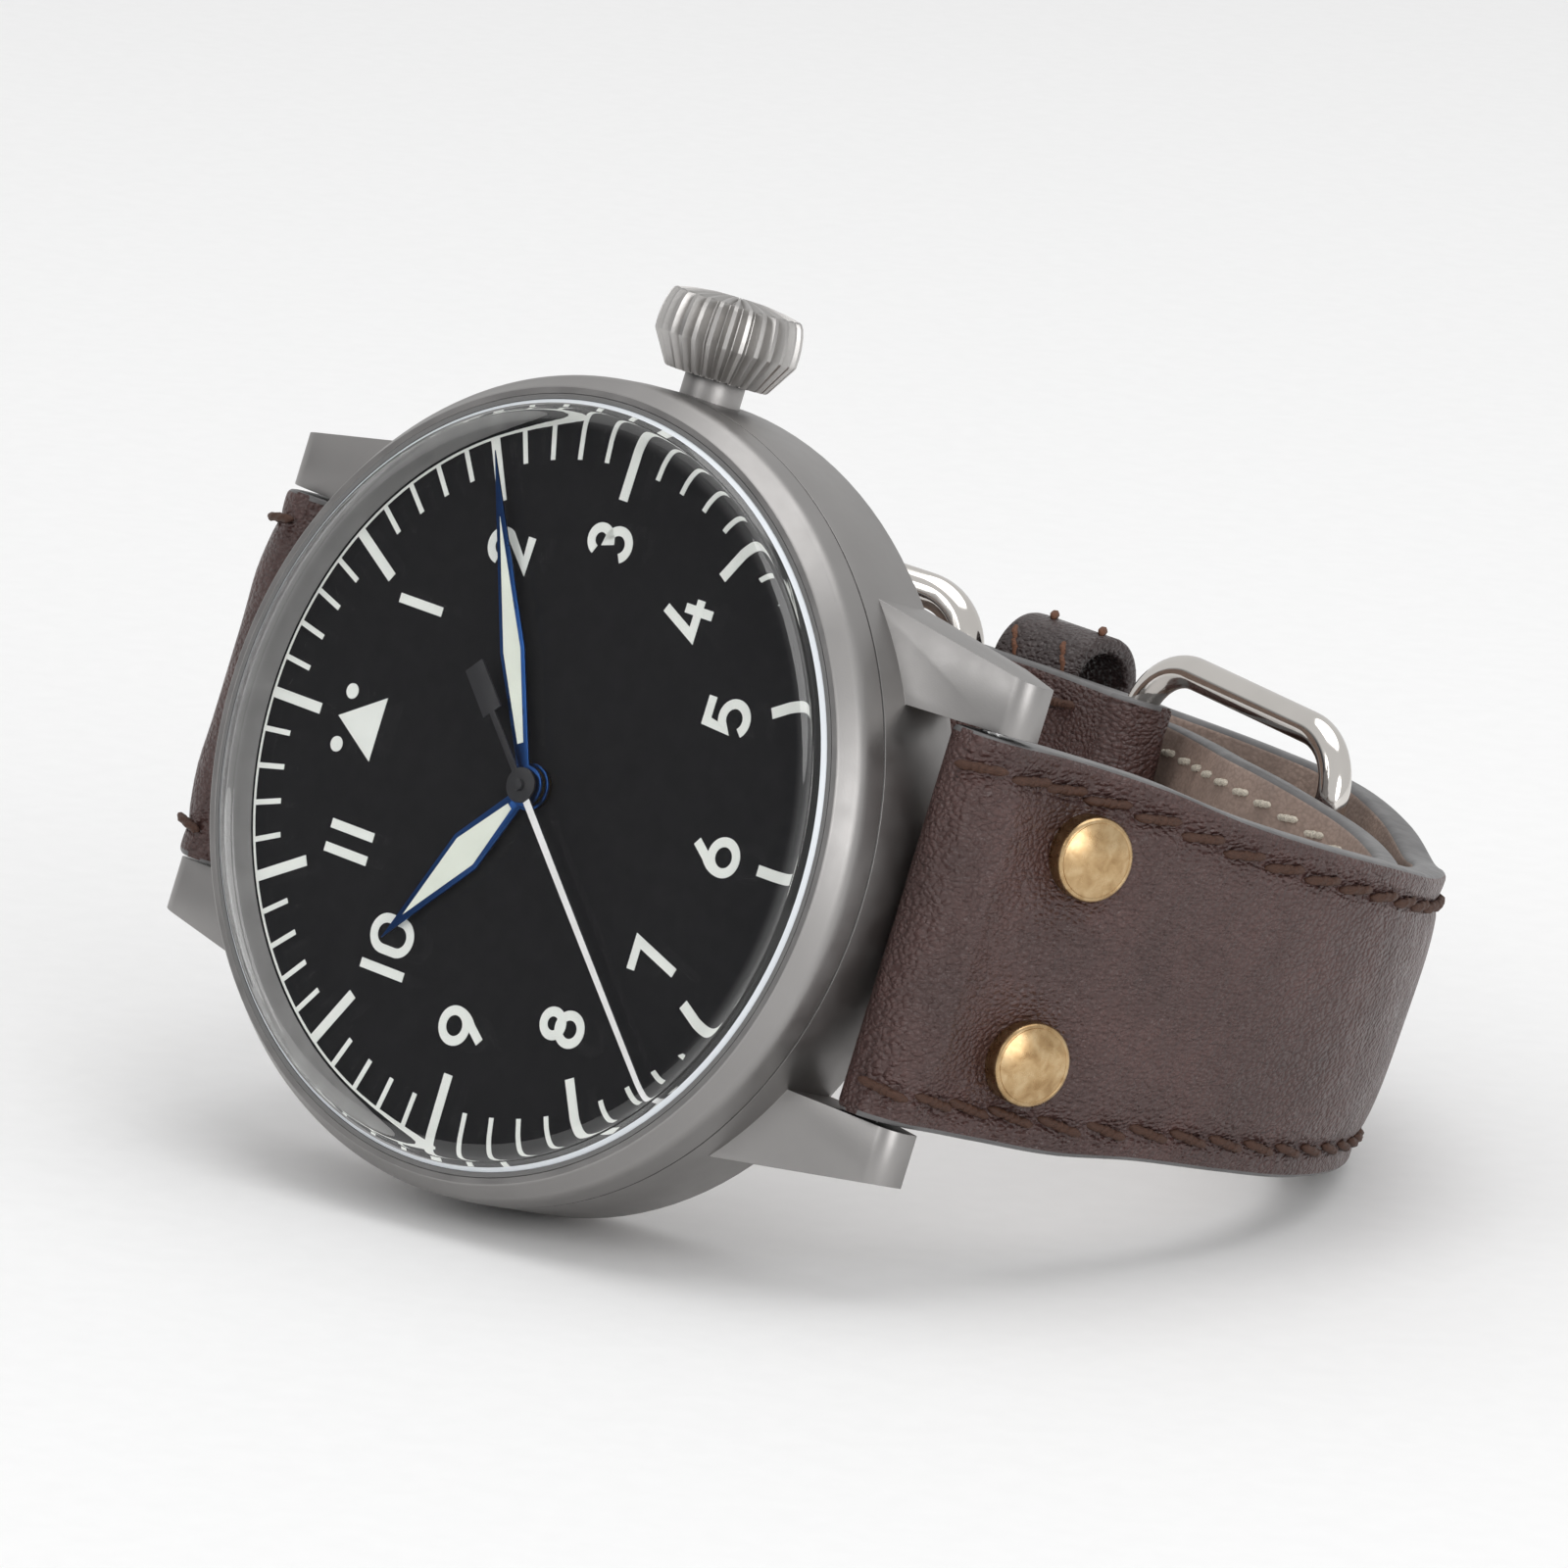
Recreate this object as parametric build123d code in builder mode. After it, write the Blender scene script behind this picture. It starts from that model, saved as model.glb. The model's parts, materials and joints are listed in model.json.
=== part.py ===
from build123d import *
import math
import os

os.makedirs("parts", exist_ok=True)

# Pilot watch on its closed leather strap, in millimetres and degrees.
# It lies on the nine o'clock side of its case, leaning back on the strap.
# The case rim, the strap's bend and the buckle's lower end touch the table.
# Sketches are drawn in the dial's own frame: x towards six o'clock,
# y towards the crown at three o'clock, z out of the dial, zero on the dial.

# How the watch lies, and where its frame sits in the object's frame.
lean = 14.5
turn = 5.3
dial_across = 2.5137
dial_back = -27.4175

# Case.
case_radius = 21.0
case_front = -0.47
case_rear = -6.2
case_rear_arris = -5.7
case_rear_radius = 20.5
case_bore_radius = 17.5
case_bore_end = -5.16
thread_bore_radius = 18.5
joint_chamfer = 0.08

# Lugs.
lug_tip = 25.2
lug_front = -1.8
lug_tip_front = -3.1
lug_tip_rear = -5.0
lug_rear_tip = 25.0
lug_bend = 22.2
lug_bend_rear = -6.05
lug_root = 13.5
lug_root_rear = -6.0
lug_inner = 10.1
lug_outer = 12.8
lug_root_outer = 14.5
lug_root_inner = 9.85
lug_flare_reach = 14.9
lug_round = 1.2
lug_rear_round = 0.3
relief_depth = -8.2

# Spring bars.
bar_across = 22.5
bar_depth = -4.75
bar_radius = 0.75
bar_length = 19.9
bar_tip_radius = 0.4
bar_tip_length = 0.8
bar_hole_radius = 0.44
bar_hole_depth = 0.95

# Bezel, crystal and what holds them.
bezel_top = 2.25
bezel_lip_radius = 20.0
bezel_inner_lip = 19.78
bezel_shoulder_height = 0.85
bezel_shoulder_radius = 20.93
bezel_break_radius = 20.62
bezel_break_height = 1.42
bezel_seat = 1.58
bezel_bore_radius = 19.0
crystal_radius = 19.5
crystal_edge_height = 2.2
crystal_bevel = 0.45
crystal_shoulder_radius = 17.8
crystal_shoulder_height = 2.98
crystal_dome = 3.25
gasket_gap = 0.02
rehaut_radius = 18.55
rehaut_top_radius = 18.9
rehaut_base = 0.03

# Dial.
dial_radius = 18.85
dial_thickness = 0.4
dial_hole_radius = 1.1
dial_foot_radius = 0.4
dial_foot_length = 1.5
dial_foot_place = 13.2
dial_foot_angle = 40.0

# Caseback.
back_radius = 20.3
back_edge_depth = -7.0
back_slope_radius = 19.4
back_slope_depth = -7.9
back_face_depth = -8.5
back_face_radius = 17.6
back_inside = -6.95
back_gap = 0.03
boss_radius = 18.35
boss_inner_radius = 17.2
boss_top = -5.2
notch_count = 6
notch_width = 3.0
notch_length = 1.6
notch_depth = 0.6
notch_place = 18.9
back_gasket_inner = 18.75
back_gasket_outer = 19.45
back_gasket_depth = 0.42

# Crown, its tube and the winding stem.
crown_depth = -3.5
tube_radius = 1.6
tube_bore_radius = 0.95
tube_start = 19.2
tube_end = 22.6
crown_start = 22.1
crown_widest_at = 23.8
crown_shoulder_at = 25.35
crown_end = 26.05
crown_radius = 3.7
crown_base_radius = 2.68
crown_shoulder_radius = 3.6
crown_end_radius = 3.28
crown_flutes = 28
flute_share = 0.885
crown_cap_radius = 2.75
crown_cap_rise = 0.35
crown_bore_radius = 2.35
crown_bore_end = 24.1
crown_gasket_start = 22.5
crown_gasket_end = 23.3
crown_gasket_inner = 1.66
crown_gasket_outer = 2.3
stem_radius = 0.6
stem_thread_end = 25.2
stem_start = 8.2
stem_pivot_radius = 0.32
stem_pivot_start = 7.5

# Hands.
hand_bore_radius = 0.3
hour_hand_level = 0.32
minute_hand_level = 0.68
seconds_hand_level = 1.04
hand_thickness = 0.13
hour_hand_length = 11.7
hour_hand_widest = 5.0
hour_hand_half_width = 1.16
hour_hub_radius = 1.2
minute_hand_length = 17.5
minute_hand_widest = 7.0
minute_hand_half_width = 0.78
minute_hub_radius = 1.05
hand_waist = 0.3
seconds_hand_length = 18.2
seconds_hand_half_width = 0.19
seconds_tip_share = 0.7
seconds_hub_radius = 0.9
seconds_weight_start = 4.3
seconds_weight_end = 7.1
seconds_weight_half_width = 0.6
seconds_tail_half_width = 0.17
seconds_cap_height = 0.4
hour_hand_angle = 303.5
minute_hand_angle = 61.5
seconds_hand_angle = 223.2

# Movement, in levels below the dial.
movement_radius = 15.0
holder_inner = 15.08
holder_outer = 17.42
holder_top = -0.5
holder_base = -6.5
holder_flange = 0.5
stem_hole_radius = 0.9
plate_top = -0.5
plate_recess = -1.65
plate_rear = -2.4
recess_radius = 3.75
recess_side_radius = 3.6
bearing_clearance = 0.03
bearing_block_start = 13.0
bearing_block_end = 14.7
bearing_block_half_width = 1.9
bearing_block_rear = -4.7
pivot_block_start = 7.2
pivot_block_end = 8.1
pivot_block_half_width = 0.9
bridge_front = -5.5
bridge_rear = -6.2
bridge_edge = 14.6
wheel_thickness = 0.25
tooth_gap = 0.05
tooth_depth_share = 3.2
small_sides = 10

# Centre arbor and the motion work behind the dial.
seconds_arbor_radius = 0.2
centre_tube_radius = 0.6
hour_tube_inner = 0.7
hour_tube_radius = 1.0
cannon_pinion_radius = 1.02
cannon_pinion_rear = -1.6
cannon_pinion_front = -1.1
hour_wheel_radius = 3.33
hour_wheel_front = -0.65
hour_wheel_rear = -0.95
minute_wheel_place = 4.2
minute_wheel_radius = 3.12
minute_wheel_front = -1.15
minute_pinion_radius = 0.81
minute_post_radius = 0.34
minute_post_top = -0.75
cannon_teeth = 12
minute_wheel_teeth = 36
minute_pinion_teeth = 10
hour_wheel_teeth = 40

# Going train.
barrel_place = 6.15
barrel_angle = 150.0
barrel_radius = 4.85
barrel_rim_radius = 5.3
barrel_front = -2.6
barrel_rear = -3.9
barrel_rim_rear = -2.95
barrel_wall = 0.3
barrel_arbor_radius = 1.0
barrel_pivot_radius = 0.6
barrel_teeth = 72
centre_pinion_radius = 0.8
centre_pinion_front = -2.6
centre_pinion_rear = -3.2
centre_pinion_teeth = 8
centre_wheel_radius = 4.3
centre_wheel_front = -4.05
centre_wheel_teeth = 64
third_place = 4.8
third_angle = 300.0
third_pinion_radius = 0.45
third_pinion_front = -3.95
third_pinion_rear = -4.45
third_wheel_radius = 4.2
third_wheel_front = -5.0
third_wheel_teeth = 60
fourth_wheel_radius = 4.1
fourth_wheel_front = -4.6
fourth_wheel_teeth = 56
fourth_pinion_radius = 0.5
fourth_pinion_front = -4.95
fourth_pinion_rear = -5.3
small_pinion_teeth = 8
arbor_radius = 0.2
escape_place = 4.6
escape_angle = 20.0
escape_radius = 2.2
escape_valley_radius = 1.55
escape_front = -3.4
escape_teeth = 15
escape_pinion_radius = 0.42
escape_pinion_front = -4.5
escape_pinion_rear = -4.95
fork_place = 7.45
fork_arbor_rear = -4.25
pallet_bridge_front = -3.9
pallet_bridge_rear = -4.3
pallet_foot_place = 8.8
pallet_foot_angle = -10.0
pallet_foot_radius = 0.8
fork_half_span = 1.75
fork_arm_half_width = 0.24
fork_reach = 1.9
fork_pallet_radius = 0.3
balance_place = 10.2
balance_radius = 4.1
balance_rim_width = 0.5
balance_front = -4.45
balance_rear = -4.95
balance_spoke_half_width = 0.22
balance_hub_radius = 0.55
balance_roller_radius = 0.75
balance_roller_front = -3.95
balance_roller_rear = -4.2
ratchet_radius = 4.5
ratchet_front = -6.26
ratchet_rear = -6.56
ratchet_teeth = 48
crown_wheel_radius = 2.9
crown_wheel_teeth = 31
crown_wheel_place = 10.55
crown_wheel_angle = 106.0
crown_wheel_hub_radius = 1.0
keyless_radius = 1.05
winding_pinion_start = 11.0
winding_pinion_end = 12.8
sliding_pinion_start = 8.6
sliding_pinion_end = 10.6
keyless_teeth = 12

# Bridges, their feet and screws.
foot_radius = 1.25
foot_place = 13.25
barrel_feet = [128.0, 175.0, 228.0]
train_feet = [250.0, 335.0]
cock_foot = 62.0
cock_radius = 1.5
bridge_hub_radius = 2.0
screw_radius = 0.55
screw_head_radius = 0.85
screw_head_rear = -6.5
screw_length = 3.6
slot_width = 0.22
slot_depth = 0.15

# Strap: x, depth behind the dial, rise of the middle line, half width, thickness, slant.
long_stations = [
    (22.9, 5.4, 0.0, 9.85, 3.8, 0.0), (24.3, 9.4, 0.0, 9.8, 3.9, 0.0), (26.1, 13.8, 0.0, 9.6, 3.2, 1.5),
    (27.6, 19.0, 0.0, 9.0, 2.6, 3.0), (28.4, 25.0, 0.0, 8.7, 2.4, 4.0), (28.0, 31.2, 0.0, 8.5, 2.3, 4.0),
    (25.9, 37.6, 0.0, 8.2, 2.3, 3.0), (22.5, 43.6, 0.1, 8.1, 2.3, 2.0), (18.2, 48.9, 0.12, 8.0, 2.3, 1.0),
    (13.0, 53.4, 1.3, 8.0, 2.3, 0.0), (7.0, 56.7, 2.2, 8.0, 2.2, 0.0), (0.0, 58.4, 2.5, 8.0, 2.1, 0.0),
    (-8.0, 58.8, 2.6, 8.0, 2.0, 0.0), (-16.0, 58.6, 2.6, 8.0, 2.0, 0.0), (-23.2, 57.4, 2.6, 8.0, 2.0, 0.0),
    (-29.6, 53.8, 2.4, 7.9, 2.0, 0.0), (-33.6, 48.2, 2.2, 7.2, 2.0, 0.0), (-35.0, 42.5, 2.0, 4.0, 1.8, 0.0)]
buckle_side_stations = [
    (-23.2, 5.7, 0.0, 9.85, 4.2, 0.0), (-24.3, 9.4, 0.0, 9.8, 3.9, 0.0), (-26.0, 13.8, 0.0, 9.6, 3.2, 0.0),
    (-27.4, 19.0, 0.0, 9.1, 2.6, 0.0), (-28.6, 25.0, 0.2, 8.6, 2.4, 0.0), (-29.5, 31.5, 0.5, 8.3, 2.3, 0.0),
    (-29.4, 38.0, 1.0, 8.1, 2.3, 0.0), (-27.7, 44.3, 1.8, 8.0, 2.3, 0.0), (-24.0, 49.6, 2.4, 8.0, 2.3, 0.0),
    (-18.6, 52.9, 2.8, 8.0, 2.4, 0.0), (-13.6, 53.4, 2.9, 8.0, 2.2, 0.0), (-10.4, 53.3, 2.9, 8.0, 2.2, 0.0),
    (-7.5, 53.05, 2.9, 8.0, 3.0, 0.0)]
tongue_stations = [
    (23.7, 14.5, 0.0, 8.6, 1.5, 1.5), (25.35, 19.4, 0.0, 8.3, 1.5, 3.0), (26.2, 25.0, 0.0, 8.0, 1.5, 4.0),
    (25.85, 30.8, 0.0, 7.8, 1.5, 4.0), (23.85, 36.9, 0.1, 7.7, 1.5, 3.0), (20.2, 42.5, 0.4, 7.6, 1.5, 2.0),
    (14.9, 46.7, 1.2, 7.5, 1.5, 1.0), (8.8, 48.5, 2.0, 7.5, 1.5, 0.0), (3.4, 50.9, 2.3, 7.5, 1.5, 0.0),
    (-1.5, 54.5, 2.4, 7.5, 1.4, 0.0), (-6.0, 56.65, 2.5, 7.5, 1.2, 0.0), (-9.6, 56.85, 2.6, 7.2, 1.1, 0.0)]
loop_radius = 2.05
loop_hole_radius = 0.85
bulge_radius = 2.5
bulge_across = -23.2
bulge_depth = -4.45
fold_radius = 2.4
fold_hole_radius = 1.45
fold_half_width = 8.0

strap_clearance = 0.25

# Slider ring, keeper and buckle.
ring_across = 1.9
ring_depth = 51.9
ring_rise = 2.9
ring_half_length = 10.9
ring_half_width = 8.8
ring_wire = 1.8
ring_corner = 4.2
ring_thickness = 1.9
ring_edge = 0.6
ring_tilt = 8.0
ring_roll = 4.0
keeper_start = -17.7
keeper_end = -12.0
keeper_front = 54.8
keeper_rear = 61.1
keeper_low = -7.8
keeper_high = 13.3
keeper_wall = 1.0
keeper_corner = 2.9
buckle_across = -26.5
buckle_depth = 54.05
buckle_half_length = 12.0
buckle_half_width = 8.0
buckle_wire = 2.0
buckle_corner = 4.4
buckle_thickness = 2.0
buckle_edge = 0.6
buckle_tilt = -10.3
buckle_stand = 0.374
tab_radius = 1.8
tab_hole_radius = 1.15
tab_half_width = 6.0
pin_radius = 0.75
pin_slot_half_width = 1.1
pin_eye_radius = 1.75
pin_eye_half_width = 0.85
pin_tip_across = -34.1
pin_tip_depth = 54.6
pin_hole_reach = 4.0
pin_hole_across = -27.0

# Rivets.
rivet_spacing = 10.6
rivet_head_radius = 2.15
rivet_head_rise = 0.45
rivet_rim = 0.35
rivet_head_taper = 62.0
rivet_shank_radius = 0.8
rivet_back_radius = 1.7
rivet_back_thickness = 0.45
rivet_across = 26.65
rivet_depth = 9.82
rivet_slope = 21.0
rivet_grip = 4.1
rivet_hole_radius = 0.83

# Frame of the dial: the lean and turn as unit vectors in the object's frame.
lean_rad = math.radians(lean)
turn_rad = math.radians(turn)
dial_out = Vector(0, -math.cos(lean_rad), math.sin(lean_rad))
crown_way = Vector(math.sin(turn_rad), math.cos(turn_rad) * math.sin(lean_rad),
                   math.cos(turn_rad) * math.cos(lean_rad))
six_way = crown_way.cross(dial_out)
dial_height = case_radius * math.cos(lean_rad) - case_rear_arris * math.sin(lean_rad)
dial_plane = Plane(origin=(dial_across, dial_back, dial_height), x_dir=six_way, z_dir=dial_out)
meridian = Plane(origin=dial_plane.origin, x_dir=six_way, z_dir=-crown_way)
dial_axis = Axis(dial_plane.origin, dial_out)


def at(across, up, out):
    """Turn a place in the dial's frame into one in the object's frame."""
    return dial_plane.from_local_coords(Vector(across, up, out))


def table_height(across, behind):
    """Give the table's height in the dial's frame at a place behind the dial."""
    run = across * math.sin(turn_rad) * math.cos(lean_rad) + behind * math.sin(lean_rad)
    return (run - dial_height) / (math.cos(turn_rad) * math.cos(lean_rad))


def polar(distance, angle):
    """Give a place on the dial's face from its distance and its angle."""
    swing = math.radians(angle)
    return (distance * math.cos(swing), distance * math.sin(swing))


def tooth_points(tip_radius, teeth, place=(0, 0)):
    """List the corners of a toothed wheel's outline, a tip and a foot for each tooth."""
    tooth_foot = tip_radius * (1 - tooth_depth_share / (teeth + tooth_depth_share))
    corners = []
    for corner in range(2 * teeth):
        radius = tip_radius if corner % 2 == 0 else tooth_foot
        swing = math.pi * corner / teeth
        corners.append((place[0] + radius * math.cos(swing), place[1] + radius * math.sin(swing)))
    return corners


def strap_sections(stations):
    """Give a plane, a thickness and a width for each station along a strap."""
    sections = []
    last = len(stations) - 1
    for number, (across, behind, rise, half_width, thickness, slant) in enumerate(stations):
        before = stations[max(number - 1, 0)]
        after = stations[min(number + 1, last)]
        along = six_way * (after[0] - before[0]) - dial_out * (after[1] - before[1])
        level_way = crown_way.cross(along).normalized()
        across_way = (level_way * math.cos(math.radians(slant))
                      + crown_way * math.sin(math.radians(slant)))
        plane = Plane(origin=at(across, rise, -behind), x_dir=across_way, z_dir=along)
        sections.append((plane, thickness, 2 * half_width))
    return sections


# Mid-case: lugs from their side profile and their plan, then the turned ring.
with BuildPart() as mid_case:
    with BuildSketch(meridian) as lug_profile:
        with BuildLine():
            Polyline((0, lug_front), (lug_root, lug_front), (lug_tip, lug_tip_front),
                     (lug_rear_tip, lug_tip_rear), (lug_bend, lug_bend_rear), (lug_root, lug_root_rear),
                     (0, lug_root_rear), close=True)
        make_face()
        tip_corner = lug_profile.vertices().filter_by_position(Axis.X, lug_tip, lug_tip)
        rear_corner = lug_profile.vertices().filter_by_position(Axis.X, lug_rear_tip, lug_rear_tip)
        fillet(tip_corner, lug_round)
        fillet(rear_corner, lug_rear_round)
        mirror(about=Plane.YZ)
    extrude(amount=case_radius, both=True)
    with BuildSketch(dial_plane) as lug_plan:
        with BuildLine():
            Polyline((0, lug_root_inner), (lug_flare_reach, lug_root_inner), (lug_tip, lug_inner),
                     (lug_tip, lug_outer), (lug_flare_reach, lug_root_outer), (0, lug_root_outer),
                     close=True)
        make_face()
        mirror(about=Plane.YZ)
        mirror(about=Plane.XZ)
    extrude(amount=case_radius, both=True, mode=Mode.INTERSECT)
    with BuildSketch(meridian):
        with BuildLine():
            Polyline((0, case_front), (case_radius - joint_chamfer, case_front),
                     (case_radius, case_front - joint_chamfer), (case_radius, case_rear_arris),
                     (case_rear_radius, case_rear), (0, case_rear), close=True)
        make_face()
    revolve(axis=dial_axis)
    with BuildSketch(dial_plane):
        Circle(case_bore_radius)
    extrude(amount=case_bore_end, mode=Mode.SUBTRACT)
    with BuildSketch(dial_plane.offset(case_bore_end)):
        Circle(thread_bore_radius)
    extrude(amount=relief_depth, mode=Mode.SUBTRACT)
    with BuildSketch(dial_plane.offset(case_rear)):
        Circle(case_rear_radius)
    extrude(amount=relief_depth, mode=Mode.SUBTRACT)
    with BuildSketch(Plane(origin=at(0, 0, crown_depth), x_dir=six_way, z_dir=crown_way)):
        Circle(tube_radius)
    extrude(amount=case_radius + tube_radius, mode=Mode.SUBTRACT)
    with BuildSketch(Plane(origin=at(0, 0, bar_depth), x_dir=six_way, z_dir=crown_way)):
        with Locations((-bar_across, 0), (bar_across, 0)):
            Circle(bar_hole_radius)
    extrude(amount=lug_inner + bar_hole_depth, both=True, mode=Mode.SUBTRACT)
mid_case.part.label = "mid_case"
export_step(mid_case.part, "parts/mid_case.step")

# Bezel: a turned ring with a rounded shoulder and a seat for the crystal.
with BuildPart() as bezel:
    with BuildSketch(meridian) as bezel_profile:
        with BuildLine():
            shoulder = Line((case_radius, case_front + joint_chamfer),
                            (bezel_shoulder_radius, bezel_shoulder_height))
            bend = TangentArc((bezel_shoulder_radius, bezel_shoulder_height),
                              (bezel_break_radius, bezel_break_height), tangent=shoulder % 1)
            Polyline(bend @ 1, (bezel_lip_radius, bezel_top), (bezel_inner_lip, bezel_top),
                     (bezel_inner_lip, bezel_seat), (bezel_bore_radius, bezel_seat),
                     (bezel_bore_radius, case_front), (case_radius - joint_chamfer, case_front),
                     shoulder @ 0)
        make_face()
    revolve(axis=dial_axis)
bezel.part.label = "bezel"
export_step(bezel.part, "parts/bezel.step")

# Crystal: a domed disc with a rounded shoulder and a bevelled edge.
crystal_dome_bend = (3 * crystal_dome + crystal_shoulder_height) / 4
crystal_bevel_radius = crystal_radius - crystal_bevel
crystal_bevel_height = crystal_edge_height + crystal_bevel
with BuildPart() as crystal:
    with BuildSketch(meridian):
        with BuildLine():
            Polyline((0, bezel_seat + gasket_gap), (crystal_radius, bezel_seat + gasket_gap),
                     (crystal_radius, crystal_edge_height), (crystal_bevel_radius, crystal_bevel_height))
            Line((0, bezel_seat + gasket_gap), (0, crystal_dome))
            dome = ThreePointArc((0, crystal_dome), (crystal_shoulder_radius / 2, crystal_dome_bend),
                                 (crystal_shoulder_radius, crystal_shoulder_height))
            TangentArc((crystal_shoulder_radius, crystal_shoulder_height),
                       (crystal_bevel_radius, crystal_bevel_height), tangent=dome % 1)
        make_face()
    revolve(axis=dial_axis)
crystal.part.label = "crystal"
export_step(crystal.part, "parts/crystal.step")

# Crystal gasket: the thin sealing ring between crystal and bezel.
with BuildPart() as crystal_gasket:
    with BuildSketch(dial_plane.offset(bezel_seat + gasket_gap)):
        Circle(bezel_inner_lip - gasket_gap)
        Circle(crystal_radius + gasket_gap, mode=Mode.SUBTRACT)
    extrude(amount=bezel_top - bezel_seat - gasket_gap)
crystal_gasket.part.label = "crystal_gasket"
export_step(crystal_gasket.part, "parts/crystal_gasket.step")

# Rehaut: the sloped inner ring between dial and crystal.
with BuildPart() as rehaut:
    with BuildSketch(meridian):
        with BuildLine():
            Polyline((rehaut_radius, rehaut_base), (rehaut_top_radius, bezel_seat),
                     (bezel_bore_radius - gasket_gap, bezel_seat),
                     (bezel_bore_radius - gasket_gap, rehaut_base), close=True)
        make_face()
    revolve(axis=dial_axis)
rehaut.part.label = "rehaut"
export_step(rehaut.part, "parts/rehaut.step")

# Dial with its centre hole and two feet.
with BuildPart() as dial:
    with BuildSketch(dial_plane):
        Circle(dial_radius)
        Circle(dial_hole_radius, mode=Mode.SUBTRACT)
    extrude(amount=-dial_thickness)
    with BuildSketch(dial_plane.offset(-dial_thickness)):
        with PolarLocations(dial_foot_place, 2, start_angle=dial_foot_angle):
            Circle(dial_foot_radius)
    extrude(amount=-dial_foot_length)
dial.part.label = "dial"
export_step(dial.part, "parts/dial.step")

# Movement ring: holds the movement in the case, with a hole for the stem.
with BuildPart() as movement_ring:
    with BuildSketch(dial_plane.offset(holder_top)):
        Circle(holder_outer)
        Circle(holder_inner, mode=Mode.SUBTRACT)
    extrude(amount=holder_base - holder_top)
    with BuildSketch(dial_plane.offset(case_bore_end)):
        Circle(holder_outer)
        Circle(boss_inner_radius - back_gap, mode=Mode.SUBTRACT)
    extrude(amount=holder_base - case_bore_end, mode=Mode.SUBTRACT)
    with BuildSketch(Plane(origin=at(0, 0, crown_depth), x_dir=six_way, z_dir=crown_way)):
        Circle(stem_hole_radius)
    extrude(amount=case_radius, mode=Mode.SUBTRACT)
movement_ring.part.label = "movement_ring"
export_step(movement_ring.part, "parts/movement_ring.step")

# Caseback: a screwed cover with a threaded boss and notches for the wrench.
with BuildPart() as caseback:
    with BuildSketch(meridian):
        with BuildLine():
            Polyline((0, back_inside), (boss_inner_radius, back_inside), (boss_inner_radius, boss_top),
                     (boss_radius, boss_top), (boss_radius, case_rear - back_gap),
                     (back_radius, case_rear - back_gap), (back_radius, back_edge_depth),
                     (back_slope_radius, back_slope_depth), (back_face_radius, back_face_depth),
                     (0, back_face_depth), close=True)
        make_face()
    revolve(axis=dial_axis)
    with BuildSketch(dial_plane.offset(back_face_depth)):
        with PolarLocations(notch_place, notch_count):
            Rectangle(notch_length, notch_width)
    extrude(amount=-back_face_depth + back_slope_depth + notch_depth, mode=Mode.SUBTRACT)
caseback.part.label = "caseback"
export_step(caseback.part, "parts/caseback.step")

# Caseback gasket: lies in the cover's groove inside the case rim.
with BuildPart() as caseback_gasket:
    with BuildSketch(dial_plane.offset(case_rear - back_gap)):
        Circle(thread_bore_radius - gasket_gap)
        Circle(boss_radius + gasket_gap, mode=Mode.SUBTRACT)
    extrude(amount=back_gasket_depth)
caseback_gasket.part.label = "caseback_gasket"
export_step(caseback_gasket.part, "parts/caseback_gasket.step")

# Crown tube: pressed into the case wall.
crown_plane = Plane(origin=at(0, 0, crown_depth), x_dir=six_way, z_dir=crown_way)
with BuildPart() as crown_tube:
    with BuildSketch(crown_plane.offset(tube_start)):
        Circle(tube_radius - gasket_gap)
        Circle(tube_bore_radius, mode=Mode.SUBTRACT)
    extrude(amount=tube_end - tube_start)
crown_tube.part.label = "crown_tube"
export_step(crown_tube.part, "parts/crown_tube.step")

# Crown: an onion of V-shaped flutes, lofted through four pointed stars.
with BuildPart() as crown:
    for level, radius in ((crown_start, crown_base_radius), (crown_widest_at, crown_radius),
                          (crown_shoulder_at, crown_shoulder_radius), (crown_end, crown_end_radius)):
        star = []
        for point in range(2 * crown_flutes):
            reach = radius if point % 2 == 0 else radius * flute_share
            star.append(polar(reach, 180 * point / crown_flutes))
        with BuildSketch(crown_plane.offset(level)):
            Polygon(star, align=None)
    loft(ruled=True)
    with BuildSketch(crown_plane.offset(crown_end)):
        Circle(crown_cap_radius)
    extrude(amount=crown_cap_rise, taper=60)
    with BuildSketch(crown_plane.offset(crown_start)):
        Circle(crown_bore_radius)
    extrude(amount=crown_bore_end - crown_start, mode=Mode.SUBTRACT)
    with BuildSketch(crown_plane.offset(crown_bore_end)):
        Circle(stem_radius + gasket_gap)
    extrude(amount=stem_thread_end - crown_bore_end + gasket_gap, mode=Mode.SUBTRACT)
crown.part.label = "crown"
export_step(crown.part, "parts/crown.step")

# Crown gasket: a sealing ring that slides on the tube inside the crown.
with BuildPart() as crown_gasket:
    with BuildSketch(crown_plane.offset(crown_gasket_start)):
        Circle(crown_gasket_outer)
        Circle(crown_gasket_inner, mode=Mode.SUBTRACT)
    extrude(amount=crown_gasket_end - crown_gasket_start)
crown_gasket.part.label = "crown_gasket"
export_step(crown_gasket.part, "parts/crown_gasket.step")

# Winding stem: screwed into the crown, with a pivot at its inner end.
with BuildPart() as winding_stem:
    with BuildSketch(crown_plane.offset(stem_start)):
        Circle(stem_radius)
    extrude(amount=stem_thread_end - stem_start)
    with BuildSketch(crown_plane.offset(stem_pivot_start)):
        Circle(stem_pivot_radius)
    extrude(amount=stem_start - stem_pivot_start)
winding_stem.part.label = "winding_stem"
export_step(winding_stem.part, "parts/winding_stem.step")


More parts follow.
